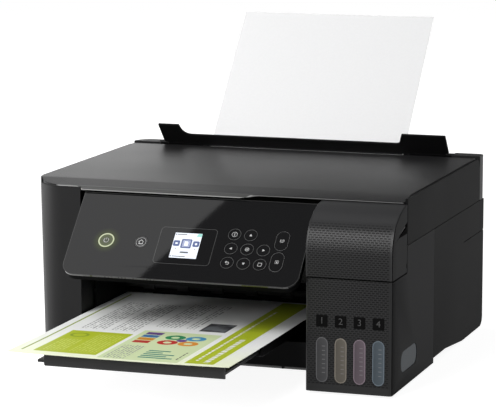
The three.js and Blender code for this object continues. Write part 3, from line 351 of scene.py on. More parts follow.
TINTS = {
    "ink_tank_1": (0.060, 0.060, 0.062),
    "ink_tank_2": (0.112, 0.101, 0.086),
    "ink_tank_3": (0.112, 0.090, 0.104),
    "ink_tank_4": (0.074, 0.090, 0.104),
}
LENS_OFFSET = 8.3 * MM
LENS_MIDDLE, LENS_HALF, LENS_RADIUS = 32.75 * MM, 20.95 * MM, 5.7 * MM
MARK_PITCH, MARK_OFFSET = 4.1 * MM, 1.6 * MM
for tank, tint in TINTS.items():
    smoky = Finish(tank + " tint", tint, 0.3, specular=0.015)
    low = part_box(tank)[0]
    _, x, _, z = smoky.place()
    middle = low.x + LENS_OFFSET
    ticks = ((z - (low.z + 11 * MM)) / MARK_PITCH).fraction().below(0.16, 0.05)
    marks = ticks * (x - (middle + MARK_OFFSET)).size().below(1.5 * MM, 0.15 * MM)
    marks = marks * z.between(20 * MM, 46 * MM, 0.3 * MM)
    beyond = ((z - LENS_MIDDLE).size() - (LENS_HALF - LENS_RADIUS)).greater(0.0)
    inside = (x - middle).reach(beyond).below(LENS_RADIUS - 0.9 * MM, 0.25 * MM)
    inside = inside.greater(x.above(middle + 7.4 * MM, CRISP))
    cloud = smoky.noise(140.0, 4.0)
    # Painted shade and light: the lens darkens towards its left and pales towards its right.
    painted_side_shade = (x - middle) / LENS_RADIUS * 0.3 + 0.3
    ink_and_painted_shade = smoky.mix(cloud * 0.4 + painted_side_shade, scaled(0.7, tint), scaled(1.3, tint))
    edged = smoky.mix(inside, scaled(2.0, tint), ink_and_painted_shade)
    smoky.vary("Base Color", smoky.mix(marks * 0.5, edged, grey(0.26)))
    smoky.vary("Roughness", cloud * 0.2 + 0.14)
    smoky.bump(marks + cloud * 0.3, 0.3, 0.0002)
    dress(tank, smoky, 0.4 * MM)

# ---- Tank labels ----
# A glossy black square over each level window, with the tank's number printed in grey. Each is
# a thin film stuck to the front of the tank unit.

LABEL_SIZE, LABEL_HEIGHT = 10.8 * MM, 69 * MM
DIGIT_SIZE = 8.5 * MM


def flat_sign(name, loops, place, thick, finish, body, edge=0.0):
    """A thin inlay cut to closed outlines; loops inside others are holes."""
    sign = bpy.data.curves.new(name, "CURVE")
    sign.dimensions = "2D"
    sign.fill_mode = "BOTH"
    for loop in loops:
        spline = sign.splines.new("POLY")
        spline.points.add(len(loop) - 1)
        for point, (u, v) in zip(spline.points, loop):
            point.co = (u, v, 0.0, 1.0)
        spline.use_cyclic_u = True
    inlay(name, sign, place, thick, finish, body, edge)


def inlay(name, sign, place, thick, finish, body, edge=0.0):
    sign.extrude = thick / 2 - edge
    sign.bevel_depth = edge
    sign.bevel_resolution = 1
    holder = bpy.data.objects.new(name, sign)
    bpy.context.collection.objects.link(holder)
    mesh = bpy.data.meshes.new_from_object(holder)
    bpy.data.objects.remove(holder)
    piece = bpy.data.objects.new(name, mesh)
    bpy.context.collection.objects.link(piece)
    mesh.materials.clear()
    mesh.materials.append(finish.material)
    mesh.transform(place)
    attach(piece, body)


def facing(origin, right, up):
    """A frame for a sign: its u runs right, its v runs up and its front faces the reader."""
    right, up = Vector(right).normalized(), Vector(up).normalized()
    out = right.cross(up)
    return Matrix.Translation(origin) @ Matrix((right, up, out)).transposed().to_4x4()


def arc(u, v, radius, start=0.0, turn=360.0, steps=40):
    count = steps if turn >= 360 else steps + 1
    angles = [math.radians(start + turn * step / steps) for step in range(count)]
    return [(u + radius * math.cos(angle), v + radius * math.sin(angle)) for angle in angles]


def rounded_box(u, v, width, height, radius, steps=5):
    loop = []
    for side, top, start in ((1, 1, 0), (-1, 1, 90), (-1, -1, 180), (1, -1, 270)):
        centre = (u + side * (width / 2 - radius), v + top * (height / 2 - radius))
        loop += arc(*centre, radius, start, 90, steps)
    return loop


label_gloss = Finish("label gloss", grey(0.003), 0.2, specular=0.03)
label_gloss.vary("Roughness", label_gloss.noise(300.0) * 0.15 + 0.16)
label_gloss.bump(label_gloss.noise(500.0), 0.05, 0.0001)
label_ink = Finish("label ink", grey(0.05), 0.5, specular=0.1)
label_ink.speckle(900.0, grey(0.04), grey(0.09))
RIGHT, UP = (1, 0, 0), (0, 0, 1)
for number, tank in enumerate(TINTS, 1):
    spot = Vector((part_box(tank)[0].x + LENS_OFFSET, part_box("tank_housing")[0].y, LABEL_HEIGHT))
    label_face = facing(spot - Vector((0, 0.05 * MM, 0)), RIGHT, UP)
    label = rounded_box(0, 0, LABEL_SIZE, LABEL_SIZE, 0.8 * MM)
    flat_sign(f"tank_label_{number}", [label], label_face, 0.3 * MM, label_gloss, "root")
    digit = bpy.data.curves.new(f"tank_number_{number}", "FONT")
    digit.body = str(number)
    digit.size = DIGIT_SIZE
    digit.align_x = "CENTER"
    digit.align_y = "CENTER"
    digit_face = facing(spot - Vector((0, 0.25 * MM, 0)), RIGHT, UP)
    inlay(f"tank_number_{number}", digit, digit_face, 0.12 * MM, label_ink, "root")

# ---- Filler caps ----
# Soft rubber plugs on short arms, one for each tank, hidden under the cover. Each is pressed
# on to the neck of its tank.

cap_rubber = moulded("cap rubber", (0.016, 0.016, 0.017), 0.62, 0.15)
for number in range(1, 5):
    dress(f"tank_cap_{number}", cap_rubber, 0.5 * MM)

# ---- Scanner ----
# A shallow charcoal tray with a sheet of float glass let into its top, and the light bar that
# runs under the glass.

dress("scanner_case", charcoal_plastic)

float_glass = Finish("float glass", (0.62, 0.70, 0.68), 0.03)
float_glass.vary("Alpha", 0.35)
float_glass.vary("Roughness", float_glass.noise(16.0, 5.0) * 0.08 + 0.01)
dress("scanner_glass", float_glass, 0.3 * MM)

bar_plastic = moulded("scan bar plastic", grey(0.012), 0.4, 0.1)
_, x, _, z = bar_plastic.place()
bar_low, bar_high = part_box("scan_bar")
slit = (x - (bar_low.x + bar_high.x) / 2).size().below(1.3 * MM, 0.1 * MM)
slit = slit * z.above(bar_high.z - 0.4 * MM, 0.1 * MM)
bar_plastic.vary("Base Color", bar_plastic.mix(slit, grey(0.012), (0.6, 0.66, 0.7)))
dress("scan_bar", bar_plastic, 0.4 * MM)

# ---- Scanner lid ----
# A wide flat lid with a sloping front edge and a finger lip, in charcoal plastic of finer grain.
# Left of the tank unit, its upright front is painted paler than the plastic is, as light, and
# stands in for a slope that runs on down to a bright edge; that lowest edge is a painted
# highlight. The white backing sheet is stuck on foam underneath.

LIP_DROP, EDGE_HEIGHT = 2.8 * MM, 3.6 * MM
lid_plastic = moulded("lid plastic", (0.014, 0.014, 0.0144), 0.38, 0.3, 0.09)
_, x, y, z = lid_plastic.place()
lid_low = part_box("document_cover")[0]
lip_left, lip_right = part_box("panel_face")[0].x - 5 * MM, 34 * MM
lip_drop = x.between(lip_left, lip_right, 4 * MM) * LIP_DROP
# The strip along the foot of the front is a painted highlight, and the upright front left of the
# tank unit is painted paler as light.
painted_edge_highlight = (z + lip_drop).below(lid_low.z + EDGE_HEIGHT, 0.15 * MM)
painted_edge_highlight = painted_edge_highlight * y.below(lid_low.y + 0.5 * MM, 0.1 * MM)
left_part = x.below(lip_right + 3 * MM, 3 * MM)
upright = y.below(lid_low.y + 0.7 * MM, 0.1 * MM) * left_part
painted_front_light = lid_plastic.mix((x - lid_low.x) / (lip_right - lid_low.x), grey(0.115), grey(0.072))
lid_colour_and_painted_light = lid_plastic.mix(upright, lid_plastic.shade, painted_front_light)
lid_colour_and_painted_light = lid_plastic.mix(painted_edge_highlight * (left_part * 0.6 + 0.4), lid_colour_and_painted_light, grey(0.34))
lid_plastic.vary("Base Color", lid_colour_and_painted_light)
dress("document_cover", lid_plastic, 0.7 * MM, 20)

backing = Finish("white backing", (0.78, 0.78, 0.77), 0.6)
backing.speckle(30.0, (0.72, 0.72, 0.71), (0.84, 0.84, 0.83))
backing.bump(backing.noise(260.0, 4.0), 0.2, 0.0004)
dress("document_pad", backing, 0.4 * MM)

# ---- Control panel ----
# A gloss-black face moulded in one sheet, clipped over a matt housing that tilts out of the
# front on two pins. A faint printed frame surrounds the screen, and the power key glows green.
# A band round the face's edge is a painted highlight, and a glow round the key is painted light.

PANEL_TILT = math.radians(44)
PANEL_SLOPE = 94 * MM
face_low, face_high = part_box("panel_face")
panel_top = Vector((0, face_low.y + PANEL_SLOPE * math.sin(PANEL_TILT), face_high.z))
panel_up = Vector((0, math.sin(PANEL_TILT), math.cos(PANEL_TILT)))
panel_out = Vector((0, -math.cos(PANEL_TILT), math.sin(PANEL_TILT)))


def on_panel(x, slope, lift=0.0):
    """A sign's frame on the panel: how far right, how far down the slope, how far proud."""
    origin = panel_top + Vector((x, 0, 0)) - panel_up * slope + panel_out * lift
    return facing(origin, RIGHT, panel_up)


def panel_middle(node):
    """Where the middle of a key lies: its x, and its distance down the slope."""
    low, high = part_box(node)
    offset = (low + high) / 2 - panel_top
    return offset.x, -offset.dot(panel_up)


power_x, power_slope = panel_middle("power_button")


def panel_place(finish):
    """A point's x, its distance down the slope, and its reach from the power key."""
    _, x, y, z = finish.place()
    slope = (panel_top.y - y) * math.sin(PANEL_TILT) + (panel_top.z - z) * math.cos(PANEL_TILT)
    return x, slope, (x - power_x).reach(slope - power_slope)


screen_low, screen_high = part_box("display")
SCREEN_FRAME = (-42.8 * MM, 12.2 * MM, 35.2 * MM, 75.5 * MM)
FRAME_CORNER, FACE_CORNER = 3.5 * MM, 13 * MM
FRAME_LINE = 0.23 * MM
GLOSS_BLACK = (0.0035, 0.0035, 0.004)

panel_gloss = Finish("panel gloss", GLOSS_BLACK, 0.02, coat=0.2, coat_roughness=0.01)
x, slope, reach = panel_place(panel_gloss)
# A glow of the power key's light is painted on the face round the key.
painted_halo = reach.below(10.5 * MM, 4.5 * MM)


def past_corners(left, right, top, bottom, corner):
    """How far a point of the face lies outside a box drawn in by the radius of its corners."""
    across = (x - (left + right) / 2).size() - ((right - left) / 2 - corner)
    down = (slope - (top + bottom) / 2).size() - ((bottom - top) / 2 - corner)
    return across.greater(0.0).reach(down.greater(0.0))


screen_line = past_corners(*SCREEN_FRAME, FRAME_CORNER)
screen_line = screen_line.between(FRAME_CORNER - FRAME_LINE, FRAME_CORNER + FRAME_LINE, 0.1 * MM)
face_reach = past_corners(face_low.x, face_high.x, -PANEL_SLOPE, PANEL_SLOPE, FACE_CORNER)
inner_face = face_reach.below(FACE_CORNER - 0.6 * MM, 0.15 * MM) * slope.above(0.7 * MM, 0.15 * MM)
printed_line = panel_gloss.mix(screen_line, GLOSS_BLACK, grey(0.06))
# The band round the edge of the face is painted paler than the black: a painted highlight.
panel_gloss.vary("Base Color", panel_gloss.mix(1 - inner_face, printed_line, grey(0.036)))
panel_gloss.shine(painted_halo, grey(0), (0.030, 0.042, 0.004))
panel_gloss.vary("Roughness", panel_gloss.noise(24.0, 4.0) * 0.012 + 0.01)
panel_gloss.bump(panel_gloss.noise(700.0), 0.03, 0.0001)
dress("panel_face", panel_gloss)
shaded_plastic = moulded("panel housing plastic", (0.002, 0.002, 0.0022), 0.6, 0.2, 0.02)
dress("panel_housing", shaded_plastic, 0.8 * MM)

# ---- Keys ----
# Gloss-black caps flush with the face, each with a printed grey outline and its sign.
# Every cap moves on its own, so its print rides with it.

key_gloss = Finish("key gloss", GLOSS_BLACK, 0.03, coat=0.2, coat_roughness=0.01)
key_gloss.vary("Roughness", key_gloss.noise(200.0) * 0.015 + 0.015)
key_gloss.bump(key_gloss.noise(700.0), 0.03, 0.0001)
outline_ink = Finish("outline ink", grey(0.08), 0.4)
outline_ink.speckle(800.0, grey(0.055), grey(0.10))
sign_ink = Finish("sign ink", grey(0.62), 0.4)
sign_ink.speckle(900.0, grey(0.34), grey(0.5))

CAP_PROUD = 0.1 * MM
PRINT = 0.08 * MM
PRINT_SINK = 0.02 * MM
OUTLINE = 0.56 * MM
TALL_KEY = 8.6 * MM
HOME_SIGN, KEY_SIGN = 1.15, 0.9


def mm(points, size=1.0):
    return [(size * u * MM, size * v * MM) for u, v in points]


def turned(points, quarter):
    """The same outline after so many quarter turns to the left."""
    for _ in range(quarter):
        points = [(-v, u) for u, v in points]
    return points


ARROW = [(1.7, 0.0), (-1.1, 1.5), (-1.1, -1.5)]
PAGE = [(-2.1, -1.6), (1.3, -1.6), (2.1, -0.8), (2.1, 1.6), (-2.1, 1.6)]
HOUSE = [(-3.4, 0.1), (0, 3.2), (3.4, 0.1), (2.4, 0.1), (2.4, -2.8), (-2.4, -2.8), (-2.4, 0.1)]
RETURN_ARROW = [
    (-2.6, 0.7), (-0.8, 2.1), (-0.8, 1.1), (1.2, 1.1), (2.3, 0.0), (2.3, -1.1), (1.2, -2.1),
    (-1.2, -2.1), (-1.2, -1.5), (1.0, -1.5), (1.7, -0.9), (1.7, -0.1), (1.0, 0.4), (-0.8, 0.4),
    (-0.8, -0.7),
]
SMALL_PAGE = [(0.75 * u, 0.7 * v) for u, v in PAGE]
KEY_SIGNS = {
    "key_help": [arc(0, 0, 3.0), arc(0, 0, 2.55), rounded_box(0, -0.5, 0.8, 2.2, 0.3),
                 arc(0, 1.5, 0.5, steps=12)],
    "key_up": [turned(ARROW, 1)],
    "key_left": [turned(ARROW, 2)],
    "key_ok": [arc(0, 0, 2.2), arc(0, 0, 1.6), arc(0, 0, 0.8, steps=16)],
    "key_right": [ARROW],
    "key_back": [RETURN_ARROW],
    "key_down": [turned(ARROW, 3)],
    "key_stop": [rounded_box(0, 0, 4.4, 4.4, 0.9), rounded_box(0, 0, 3.4, 3.4, 0.6)],
    "key_copy_mono": [PAGE, SMALL_PAGE, rounded_box(-0.2, 0, 1.8, 0.5, 0.1)],
    "key_copy_colour": [rounded_box(0, 0, 3.8, 3.8, 0.4), rounded_box(0, 0, 3.0, 3.0, 0.3),
                        arc(0, 0, 0.8, steps=16)],
    "home_button": [arc(0, 0, 4.3), arc(0, 0, 4.0), [(0.75 * u, 0.75 * v) for u, v in HOUSE],
                    [(0.5 * u, 0.5 * v) for u, v in HOUSE]],
}
for key, loops in KEY_SIGNS.items():
    dress(key, key_gloss, 0.2 * MM)
    spot = on_panel(*panel_middle(key), CAP_PROUD + PRINT / 2 - PRINT_SINK)
    low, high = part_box(key)
    width = high.x - low.x - 0.5 * MM
    height = width + (TALL_KEY if "copy" in key else 0.0)
    ring = [rounded_box(0, 0, width - line, height - line, (width - line) / 2 - 0.001 * MM, 10)
            for line in (0.0, OUTLINE)]
    flat_sign(key + "_outline", ring, spot, PRINT, outline_ink, key)
    size = HOME_SIGN if key == "home_button" else KEY_SIGN
    sign = [mm(loop, size) for loop in loops]
    flat_sign(key + "_sign", sign, spot, PRINT, sign_ink, key)

# ---- Power key ----
# Its edge is a clear light pipe, lit yellow-green from behind when the printer is on. The cap
# inside the ring is dark and glows faintly, with the usual sign printed in grey.

lit_key = Finish("lit key", (0.02, 0.024, 0.014), 0.16, coat=0.3)
_, _, reach = panel_place(lit_key)
lit_key.shine(reach.below(3.5 * MM, 3.5 * MM), (0.07, 0.085, 0.03), (0.035, 0.04, 0.028))
lit_key.bump(lit_key.noise(700.0), 0.03, 0.0001)
dress("power_button", lit_key, 0.2 * MM)

RING_OUTSIDE, RING_INSIDE = 7.75 * MM, 6.6 * MM
light_pipe = Finish("light pipe", (0.08, 0.09, 0.05), 0.3, specular=0.1)
light_pipe.shine(light_pipe.noise(120.0), (0.50, 0.54, 0.37), (0.58, 0.62, 0.45))
pipe_spot = on_panel(power_x, power_slope, CAP_PROUD + PRINT / 2)
ring = [arc(0, 0, radius, steps=72) for radius in (RING_OUTSIDE, RING_INSIDE)]
flat_sign("power_ring", ring, pipe_spot, 0.16 * MM, light_pipe, "power_button", 0.05 * MM)
broken = arc(0, 0, 2.6, 125, 290, 30) + arc(0, 0, 2.1, 55, -290, 30)
power_sign = [mm(broken), mm(rounded_box(0, 1.9, 0.5, 2.4, 0.2))]
flat_sign("power_sign", power_sign, pipe_spot, PRINT, sign_ink, "power_button")

# ---- Screen ----
# A small colour screen behind the face. It shows three round-cornered tiles over a label bar
# on a white ground, lit from behind.

glass_black = Finish("screen surround", (0.006, 0.006, 0.007), 0.08, coat=0.5)
glass_black.vary("Roughness", glass_black.noise(40.0) * 0.05 + 0.06)
glass_black.bump(glass_black.noise(500.0), 0.02, 0.0001)
dress("display", glass_black, 0.2 * MM)

SCREEN_ROW = 0.22 * MM


def lit(name, colour, other):
    """A lit patch of the screen, whose colour drifts a little from one row of dots to the next."""
    finish = Finish(name, scaled(0.3, colour), 0.2, coat=0.3)
    _, _, _, height = finish.place()
    rows = (height / SCREEN_ROW).fraction().below(0.2, 0.1)
    finish.shine(rows * 0.3 + finish.noise(60.0) * 0.5, colour, other, 0.92)
    return finish


screen_white = lit("screen white", (0.86, 0.90, 0.98), (0.70, 0.75, 0.86))
screen_blue = lit("screen blue", (0.08, 0.11, 0.24), (0.14, 0.18, 0.34))
screen_pale = lit("screen pale", (0.30, 0.34, 0.52), (0.40, 0.44, 0.62))
screen_teal = lit("screen teal", (0.28, 0.62, 0.55), (0.40, 0.74, 0.66))
screen_grey = lit("screen grey", (0.10, 0.11, 0.13), (0.18, 0.19, 0.22))


def tile(across, side, corner):
    return rounded_box(across, 2.2, side, side, corner)


window_x = (screen_low.x + screen_high.x) / 2
WINDOW_SLOPE = 54.6 * MM
WINDOW_DEPTH, LAYER = -0.17 * MM, 0.04 * MM
SHEET_SIGN = [(-1.9, -0.3), (1.9, -0.3), (1.9, 3.8), (0.8, 4.8), (-1.9, 4.8)]
MARK_LEFT = [(-10.2, -3.2), (-8.6, -3.2), (-9.4, -4.3)]
MARK_RIGHT = [(8.6, -3.2), (10.2, -3.2), (9.4, -4.3)]
SCREEN_PARTS = [
    ("screen_ground", [rounded_box(0, 0, 26.6, 28.0, 0.3)], screen_white, 0),
    ("screen_tile_middle", [tile(0, 10.2, 1.2), tile(0, 7.4, 0.7)], screen_blue, 1),
    ("screen_tile_inside", [tile(0, 7.2, 0.6)], screen_pale, 1),
    ("screen_tile_sheet", [SHEET_SIGN], screen_white, 2),
    ("screen_tile_left", [tile(-9.6, 6.4, 1.4), rounded_box(-9.6, 2.2, 2.6, 1.8, 0.4)],
     screen_blue, 1),
    ("screen_tile_right", [tile(9.6, 6.4, 1.4), arc(9.6, 2.2, 1.2, steps=20)], screen_blue, 1),
    ("screen_corner", [[(8.2, 10.4), (13.2, 10.4), (13.2, 13.8), (9.4, 13.8)]], screen_teal, 1),
    ("screen_top_bar", [rounded_box(-6.2, 12.2, 9.5, 0.9, 0.3), arc(-12.0, 12.2, 0.7, steps=16)],
     screen_grey, 1),
    ("screen_marks", [MARK_LEFT, MARK_RIGHT], screen_grey, 1),
    ("screen_label", [rounded_box(0, -7.6, 8.4, 1.8, 0.8)], screen_grey, 1),
    ("screen_foot", [rounded_box(-4.4, -12.3, 13.0, 0.9, 0.3), arc(-12.2, -12.3, 0.7, steps=16)],
     screen_grey, 1),
]
for name, loops, finish, layer in SCREEN_PARTS:
    place = on_panel(window_x, WINDOW_SLOPE, WINDOW_DEPTH + LAYER * layer)
    flat_sign(name, [mm(loop) for loop in loops], place, 0.03 * MM, finish, "panel")

# ---- Output trays ----
# A black tray slides in under the panel, and its extension slides out of it again and ends in
# a turned-up lip. The tray is the plastic of the case, and the extension a paler one.

dress("output_tray", black_plastic)
lip_plastic = moulded("tray lip plastic", (0.044, 0.044, 0.045), 0.36, 0.2)
dress("tray_extension", lip_plastic, 0.9 * MM)

# ---- Printed page ----
# One sheet of plain paper on its way out, printed landscape with a lime and pale green page of
# tiles, dots and bars. It keeps a slight curl from the rollers.

PAPER = 0.12 * MM


def paper_sheet(name, width, length, columns, rows, shape, finish, node):
    """A thin sheet of paper; shape turns (across, along) into a point."""
    points = [shape(width * (i / columns - 0.5), length * j / rows)
              for j in range(rows + 1) for i in range(columns + 1)]
    row = columns + 1
    faces = [(j * row + i, j * row + i + 1, (j + 1) * row + i + 1, (j + 1) * row + i)
             for j in range(rows) for i in range(columns)]
    mesh = bpy.data.meshes.new(name)
    mesh.from_pydata(points, [], faces)
    mesh.polygons.foreach_set("use_smooth", [True] * len(faces))
    mesh.materials.append(finish.material)
    sheet = bpy.data.objects.new(name, mesh)
    bpy.context.collection.objects.link(sheet)
    body_of_paper = sheet.modifiers.new("paper", "SOLIDIFY")
    body_of_paper.thickness = PAPER
    body_of_paper.offset = 0.0
    cut_edge = sheet.modifiers.new("cut edge", "EDGE_SPLIT")
    cut_edge.split_angle = math.radians(60)
    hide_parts(node)
    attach(sheet, node)


page_low, page_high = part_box("printed_sheet")
PAGE_SIZE = (page_high.x - page_low.x, page_high.y - page_low.y)
CURL, CURL_LENGTH = 0.9 * MM, 110 * MM
page_middle = (page_low.x + page_high.x) / 2


def page_point(across, along):
    free = max(0.0, 1 - along / CURL_LENGTH)
    curl = CURL * free ** 2 * (2 * across / PAGE_SIZE[0]) ** 2
    return (page_middle + across, page_low.y + along, page_high.z - 0.1 * MM + curl)


printed = Finish("printed paper", (0.80, 0.82, 0.80), 0.55)
_, x, y, _ = printed.place()
u = (x - page_low.x) * 1000
v = (y - page_low.y) * 1000
WHITE, PALE = (0.82, 0.83, 0.81), (0.62, 0.72, 0.42)
LIME, DEEP = (0.42, 0.50, 0.016), (0.24, 0.33, 0.012)
LIME_PRINT, PALE_END = (0.58, 0.66, 0.14), (0.86, 0.92, 0.62)
TEXT, BLACK, CHARCOAL = grey(0.27), (0.03, 0.03, 0.035), (0.14, 0.15, 0.16)
TEAL, GREEN = (0.03, 0.20, 0.16), (0.02, 0.24, 0.09)
BLUE, NAVY = (0.05, 0.27, 0.48), (0.04, 0.16, 0.36)
VIOLET, PLUM = (0.12, 0.05, 0.22), (0.13, 0.05, 0.25)
RED, BRICK = (0.50, 0.025, 0.02), (0.46, 0.03, 0.02)
ORANGE, RUST = (0.66, 0.26, 0.03), (0.60, 0.24, 0.02)
INK_EDGE = 0.2


def patch(left, right, front, back):
    return u.between(left, right, INK_EDGE) * v.between(front, back, INK_EDGE)


def dot(across, along, radius):
    return (u - across).reach(v - along).below(radius, INK_EDGE)


def drift(across, along, **detail):
    """A noise that changes from one row of print to the next."""
    spot = printed.node("CombineXYZ", {}, {0: across, 1: along, 2: 0.0})
    return printed.node("TexNoise", {}, {0: spot, "Scale": 1.0, **detail})


def lines(left, right, front, back, pitch, share=0.42):
    """Rows of print that run away from the reader, broken into words and ragged at the far end."""
    row = (u - left) / pitch
    number = row - row.fraction()
    words = drift(number * 3.7, v * 0.33, Detail=0.0).above(0.45, 0.02)
    ragged = (v - drift(number * 1.7, 9.0) * 22.0).below(back - 14.0, 0.3)
    strokes = row.fraction().between(0.5 - share / 2, 0.5 + share / 2, 0.08)
    return strokes * words * ragged * patch(left, right, front, back)


page_white = printed.mix(printed.noise(700.0), WHITE, (0.88, 0.89, 0.88))
page_ink = printed.mix(v.below(50.0, 60.0) * 0.8, page_white, PALE_END)
bars = [(patch(118, right, front, front + 3.5), TEAL)
        for right, front in ((150, 18), (142, 25), (147, 32), (134, 39), (139, 46))]
stripes = [(patch(90, 106, front, front + 10), ink)
           for front, ink in ((76, BRICK), (88, RUST), (100, NAVY), (112, VIOLET))]
dots = [(dot(across, along, 9.5), ink) for across, along, ink in
        ((122, 84, RED), (142, 84, ORANGE), (122, 106, GREEN), (142, 106, BLUE))]
holes = [(dot(across, along, 4.0), PALE) for along in (84, 106) for across in (122, 142)]
text = [(lines(left, right, front, back, pitch), TEXT) for left, right, front, back, pitch in
        ((22, 46, 120, 250, 3.6), (52, 78, 120, 250, 3.6), (86, 110, 146, 260, 3.6),
         (116, 126, 146, 260, 3.6))]
picture_grain = printed.noise(60.0).below(0.5, 0.08)
PRINT_RUN = [
    (patch(8, 10, 14, 285), DEEP),
    (patch(20, 80, 14, 108), LIME),
    (dot(34, 90, 9), DEEP), (dot(34, 90, 6.4), LIME),
    (lines(50, 76, 22, 100, 3.4), LIME_PRINT),
    (lines(25, 46, 22, 74, 3.4), LIME_PRINT),
    (patch(84, 160, 6, 128), PALE),
    (lines(88, 110, 10, 66, 3.0), TEXT),
    *bars,
    (lines(153, 156.4, 16, 52, 3.4), BLACK),
    *stripes,
    *dots,
    *holes,
    (dot(132, 95, 5.0), PLUM),
    (patch(166, 193, 8, 290), LIME),
    (lines(171, 176, 20, 250, 4.6, 0.5), WHITE),
    (lines(179, 189, 14, 120, 9.5, 0.5), WHITE),
    *text,
    (patch(132, 158, 140, 176), BLACK),
    (picture_grain * patch(134, 156, 142, 174), CHARCOAL),
]
for mask, ink in PRINT_RUN:
    page_ink = printed.mix(mask, page_ink, ink)
printed.vary("Base Color", page_ink)
printed.bump(printed.noise(1100.0, 4.0), 0.08, 0.0001)
paper_sheet("printed_page", *PAGE_SIZE, 42, 60, page_point, printed, "printed_sheet")

# ---- Loaded sheet ----
# Plain white office paper standing in the feeder. It leans back a little more towards its free
# top edge.

feed_low, feed_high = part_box("feed_sheet")
feed_run = Vector((0, feed_high.y - feed_low.y, feed_high.z - feed_low.z))
feed_up = feed_run.normalized()
feed_front = Vector((0, -feed_up.z, feed_up.y))
feed_foot = Vector(((feed_low.x + feed_high.x) / 2, feed_low.y, feed_low.z))
feed_foot = feed_foot - feed_front * 0.5 * PAPER + feed_up * 0.1 * MM
LEAN_BACK, WAVE = 5.0 * MM, 0.5 * MM


def feed_point(across, along):
    free = max(0.0, along / feed_run.length - 0.5)
    bow = LEAN_BACK * free ** 2 + WAVE * free * math.cos(across * 25)
    return feed_foot + Vector((across, 0, 0)) + feed_up * along - feed_front * bow


plain_paper = Finish("plain paper", (0.84, 0.84, 0.845), 0.6)
fibre = plain_paper.noise(420.0, 6.0)
plain_paper.vary("Base Color", plain_paper.mix(fibre, (0.705, 0.705, 0.71), (0.75, 0.75, 0.753)))
plain_paper.bump(fibre, 0.06, 0.0001)
feed_size = (feed_high.x - feed_low.x, feed_run.length - 0.4 * MM)
paper_sheet("loaded_sheet", *feed_size, 30, 42, feed_point, plain_paper, "feed_sheet")

# ---- Sheet feeder ----
# A black frame inside the back of the case, with a ramp that the paper stands on, two sliding
# edge guides, a support that pulls up and a low guard over the slot. The thin strip called
# guard_seal stands in for the foot of the guard, which its solid doesn't have.

for part in ("feeder_frame", "edge_guide_left", "edge_guide_right"):
    dress(part, black_plastic, 0.4 * MM)
dress("paper_support", charcoal_plastic)
guard_plastic = moulded("guard plastic", (0.007, 0.007, 0.0073), 0.5, 0.1, 0.03)
dress("feeder_guard", guard_plastic, 0.6 * MM)
GUARD_LEAN = math.radians(39)
GUARD_HINGE = Vector((0, 173.67, 178.2)) * MM
SEAL = [
    (-150.6, 1), (-150.6, -4.9), (-144.5, -4.9), (-144.5, -3.2), (-112.5, -3.2), (-112.5, -1),
    (-104, -1), (-104, -3.2), (104, -3.2), (104, -1), (112.5, -1), (112.5, -3.2), (150.6, -3.2),
    (150.6, 1),
]
guard_up = (0, -math.sin(GUARD_LEAN), math.cos(GUARD_LEAN))
flat_sign("guard_seal", [mm(SEAL)], facing(GUARD_HINGE, RIGHT, guard_up), 0.6 * MM, cap_rubber,
          "feeder_guard", 0.1 * MM)

roller_rubber = Finish("roller rubber", grey(0.022), 0.8)
_, x, _, _ = roller_rubber.place()
ribs = (x / (1.2 * MM)).fraction().below(0.45, 0.1)
dusty_ribs = ribs * roller_rubber.noise(40.0)
roller_rubber.vary("Base Color", roller_rubber.mix(dusty_ribs, grey(0.018), (0.05, 0.05, 0.048)))
roller_rubber.bump(ribs, 0.4, 0.0002)
dress("pickup_roller", roller_rubber, 0.4 * MM)

# ---- Frame and guide rail ----
# Folded galvanised sheet, bare, with a faintly mottled zinc coat. It is screwed into the case,
# and the carriage slides along it.

galvanised = Finish("galvanised steel", (0.52, 0.53, 0.54), 0.35, metallic=1.0)
mottle = galvanised.noise(35.0)
galvanised.vary("Base Color", galvanised.mix(mottle, (0.44, 0.45, 0.46), (0.60, 0.61, 0.62)))
galvanised.vary("Roughness", mottle * 0.2 + 0.26)
galvanised.bump(galvanised.noise(300.0), 0.1, 0.0001)
dress("main_frame", galvanised, 0.2 * MM)

# ---- Platen, cap station and carriage ----
# Black mouldings under and over the paper; the cups of the cap station are soft rubber. The
# first two are screwed to the case, and the carriage slides on the rail.

dress("platen", black_plastic, 0.2 * MM)
dress("cap_station", cap_rubber, 0.3 * MM)
dress("carriage", inlet_plastic, 0.6 * MM)

# ---- Rollers ----
# A ground steel feed roller, and small rubber rollers on the shaft in front of it. Both turn
# in plain bearings in the frame.

ground_steel = Finish("ground steel", (0.50, 0.51, 0.52), 0.25, metallic=1.0)
_, x, _, _ = ground_steel.place()
grind = ground_steel.node("CombineXYZ", {}, {0: x * 4000.0, 1: 0.0, 2: 0.0})
turning = ground_steel.node("TexNoise", {}, {0: grind, "Scale": 1.0})
ground_steel.vary("Roughness", turning * 0.2 + 0.18)
ground_steel.vary("Base Color", ground_steel.mix(turning, (0.42, 0.43, 0.44), (0.6, 0.6, 0.61)))
dress("feed_roller", ground_steel, 0.15 * MM)
dress("exit_roller", roller_rubber, 0.3 * MM)

# ---- Motors and belt ----
# Two small motors in zinc-plated cans, and a toothed belt round the motor's wheel and an idler.
# The motors are screwed to the frame, and the belt draws the carriage along.

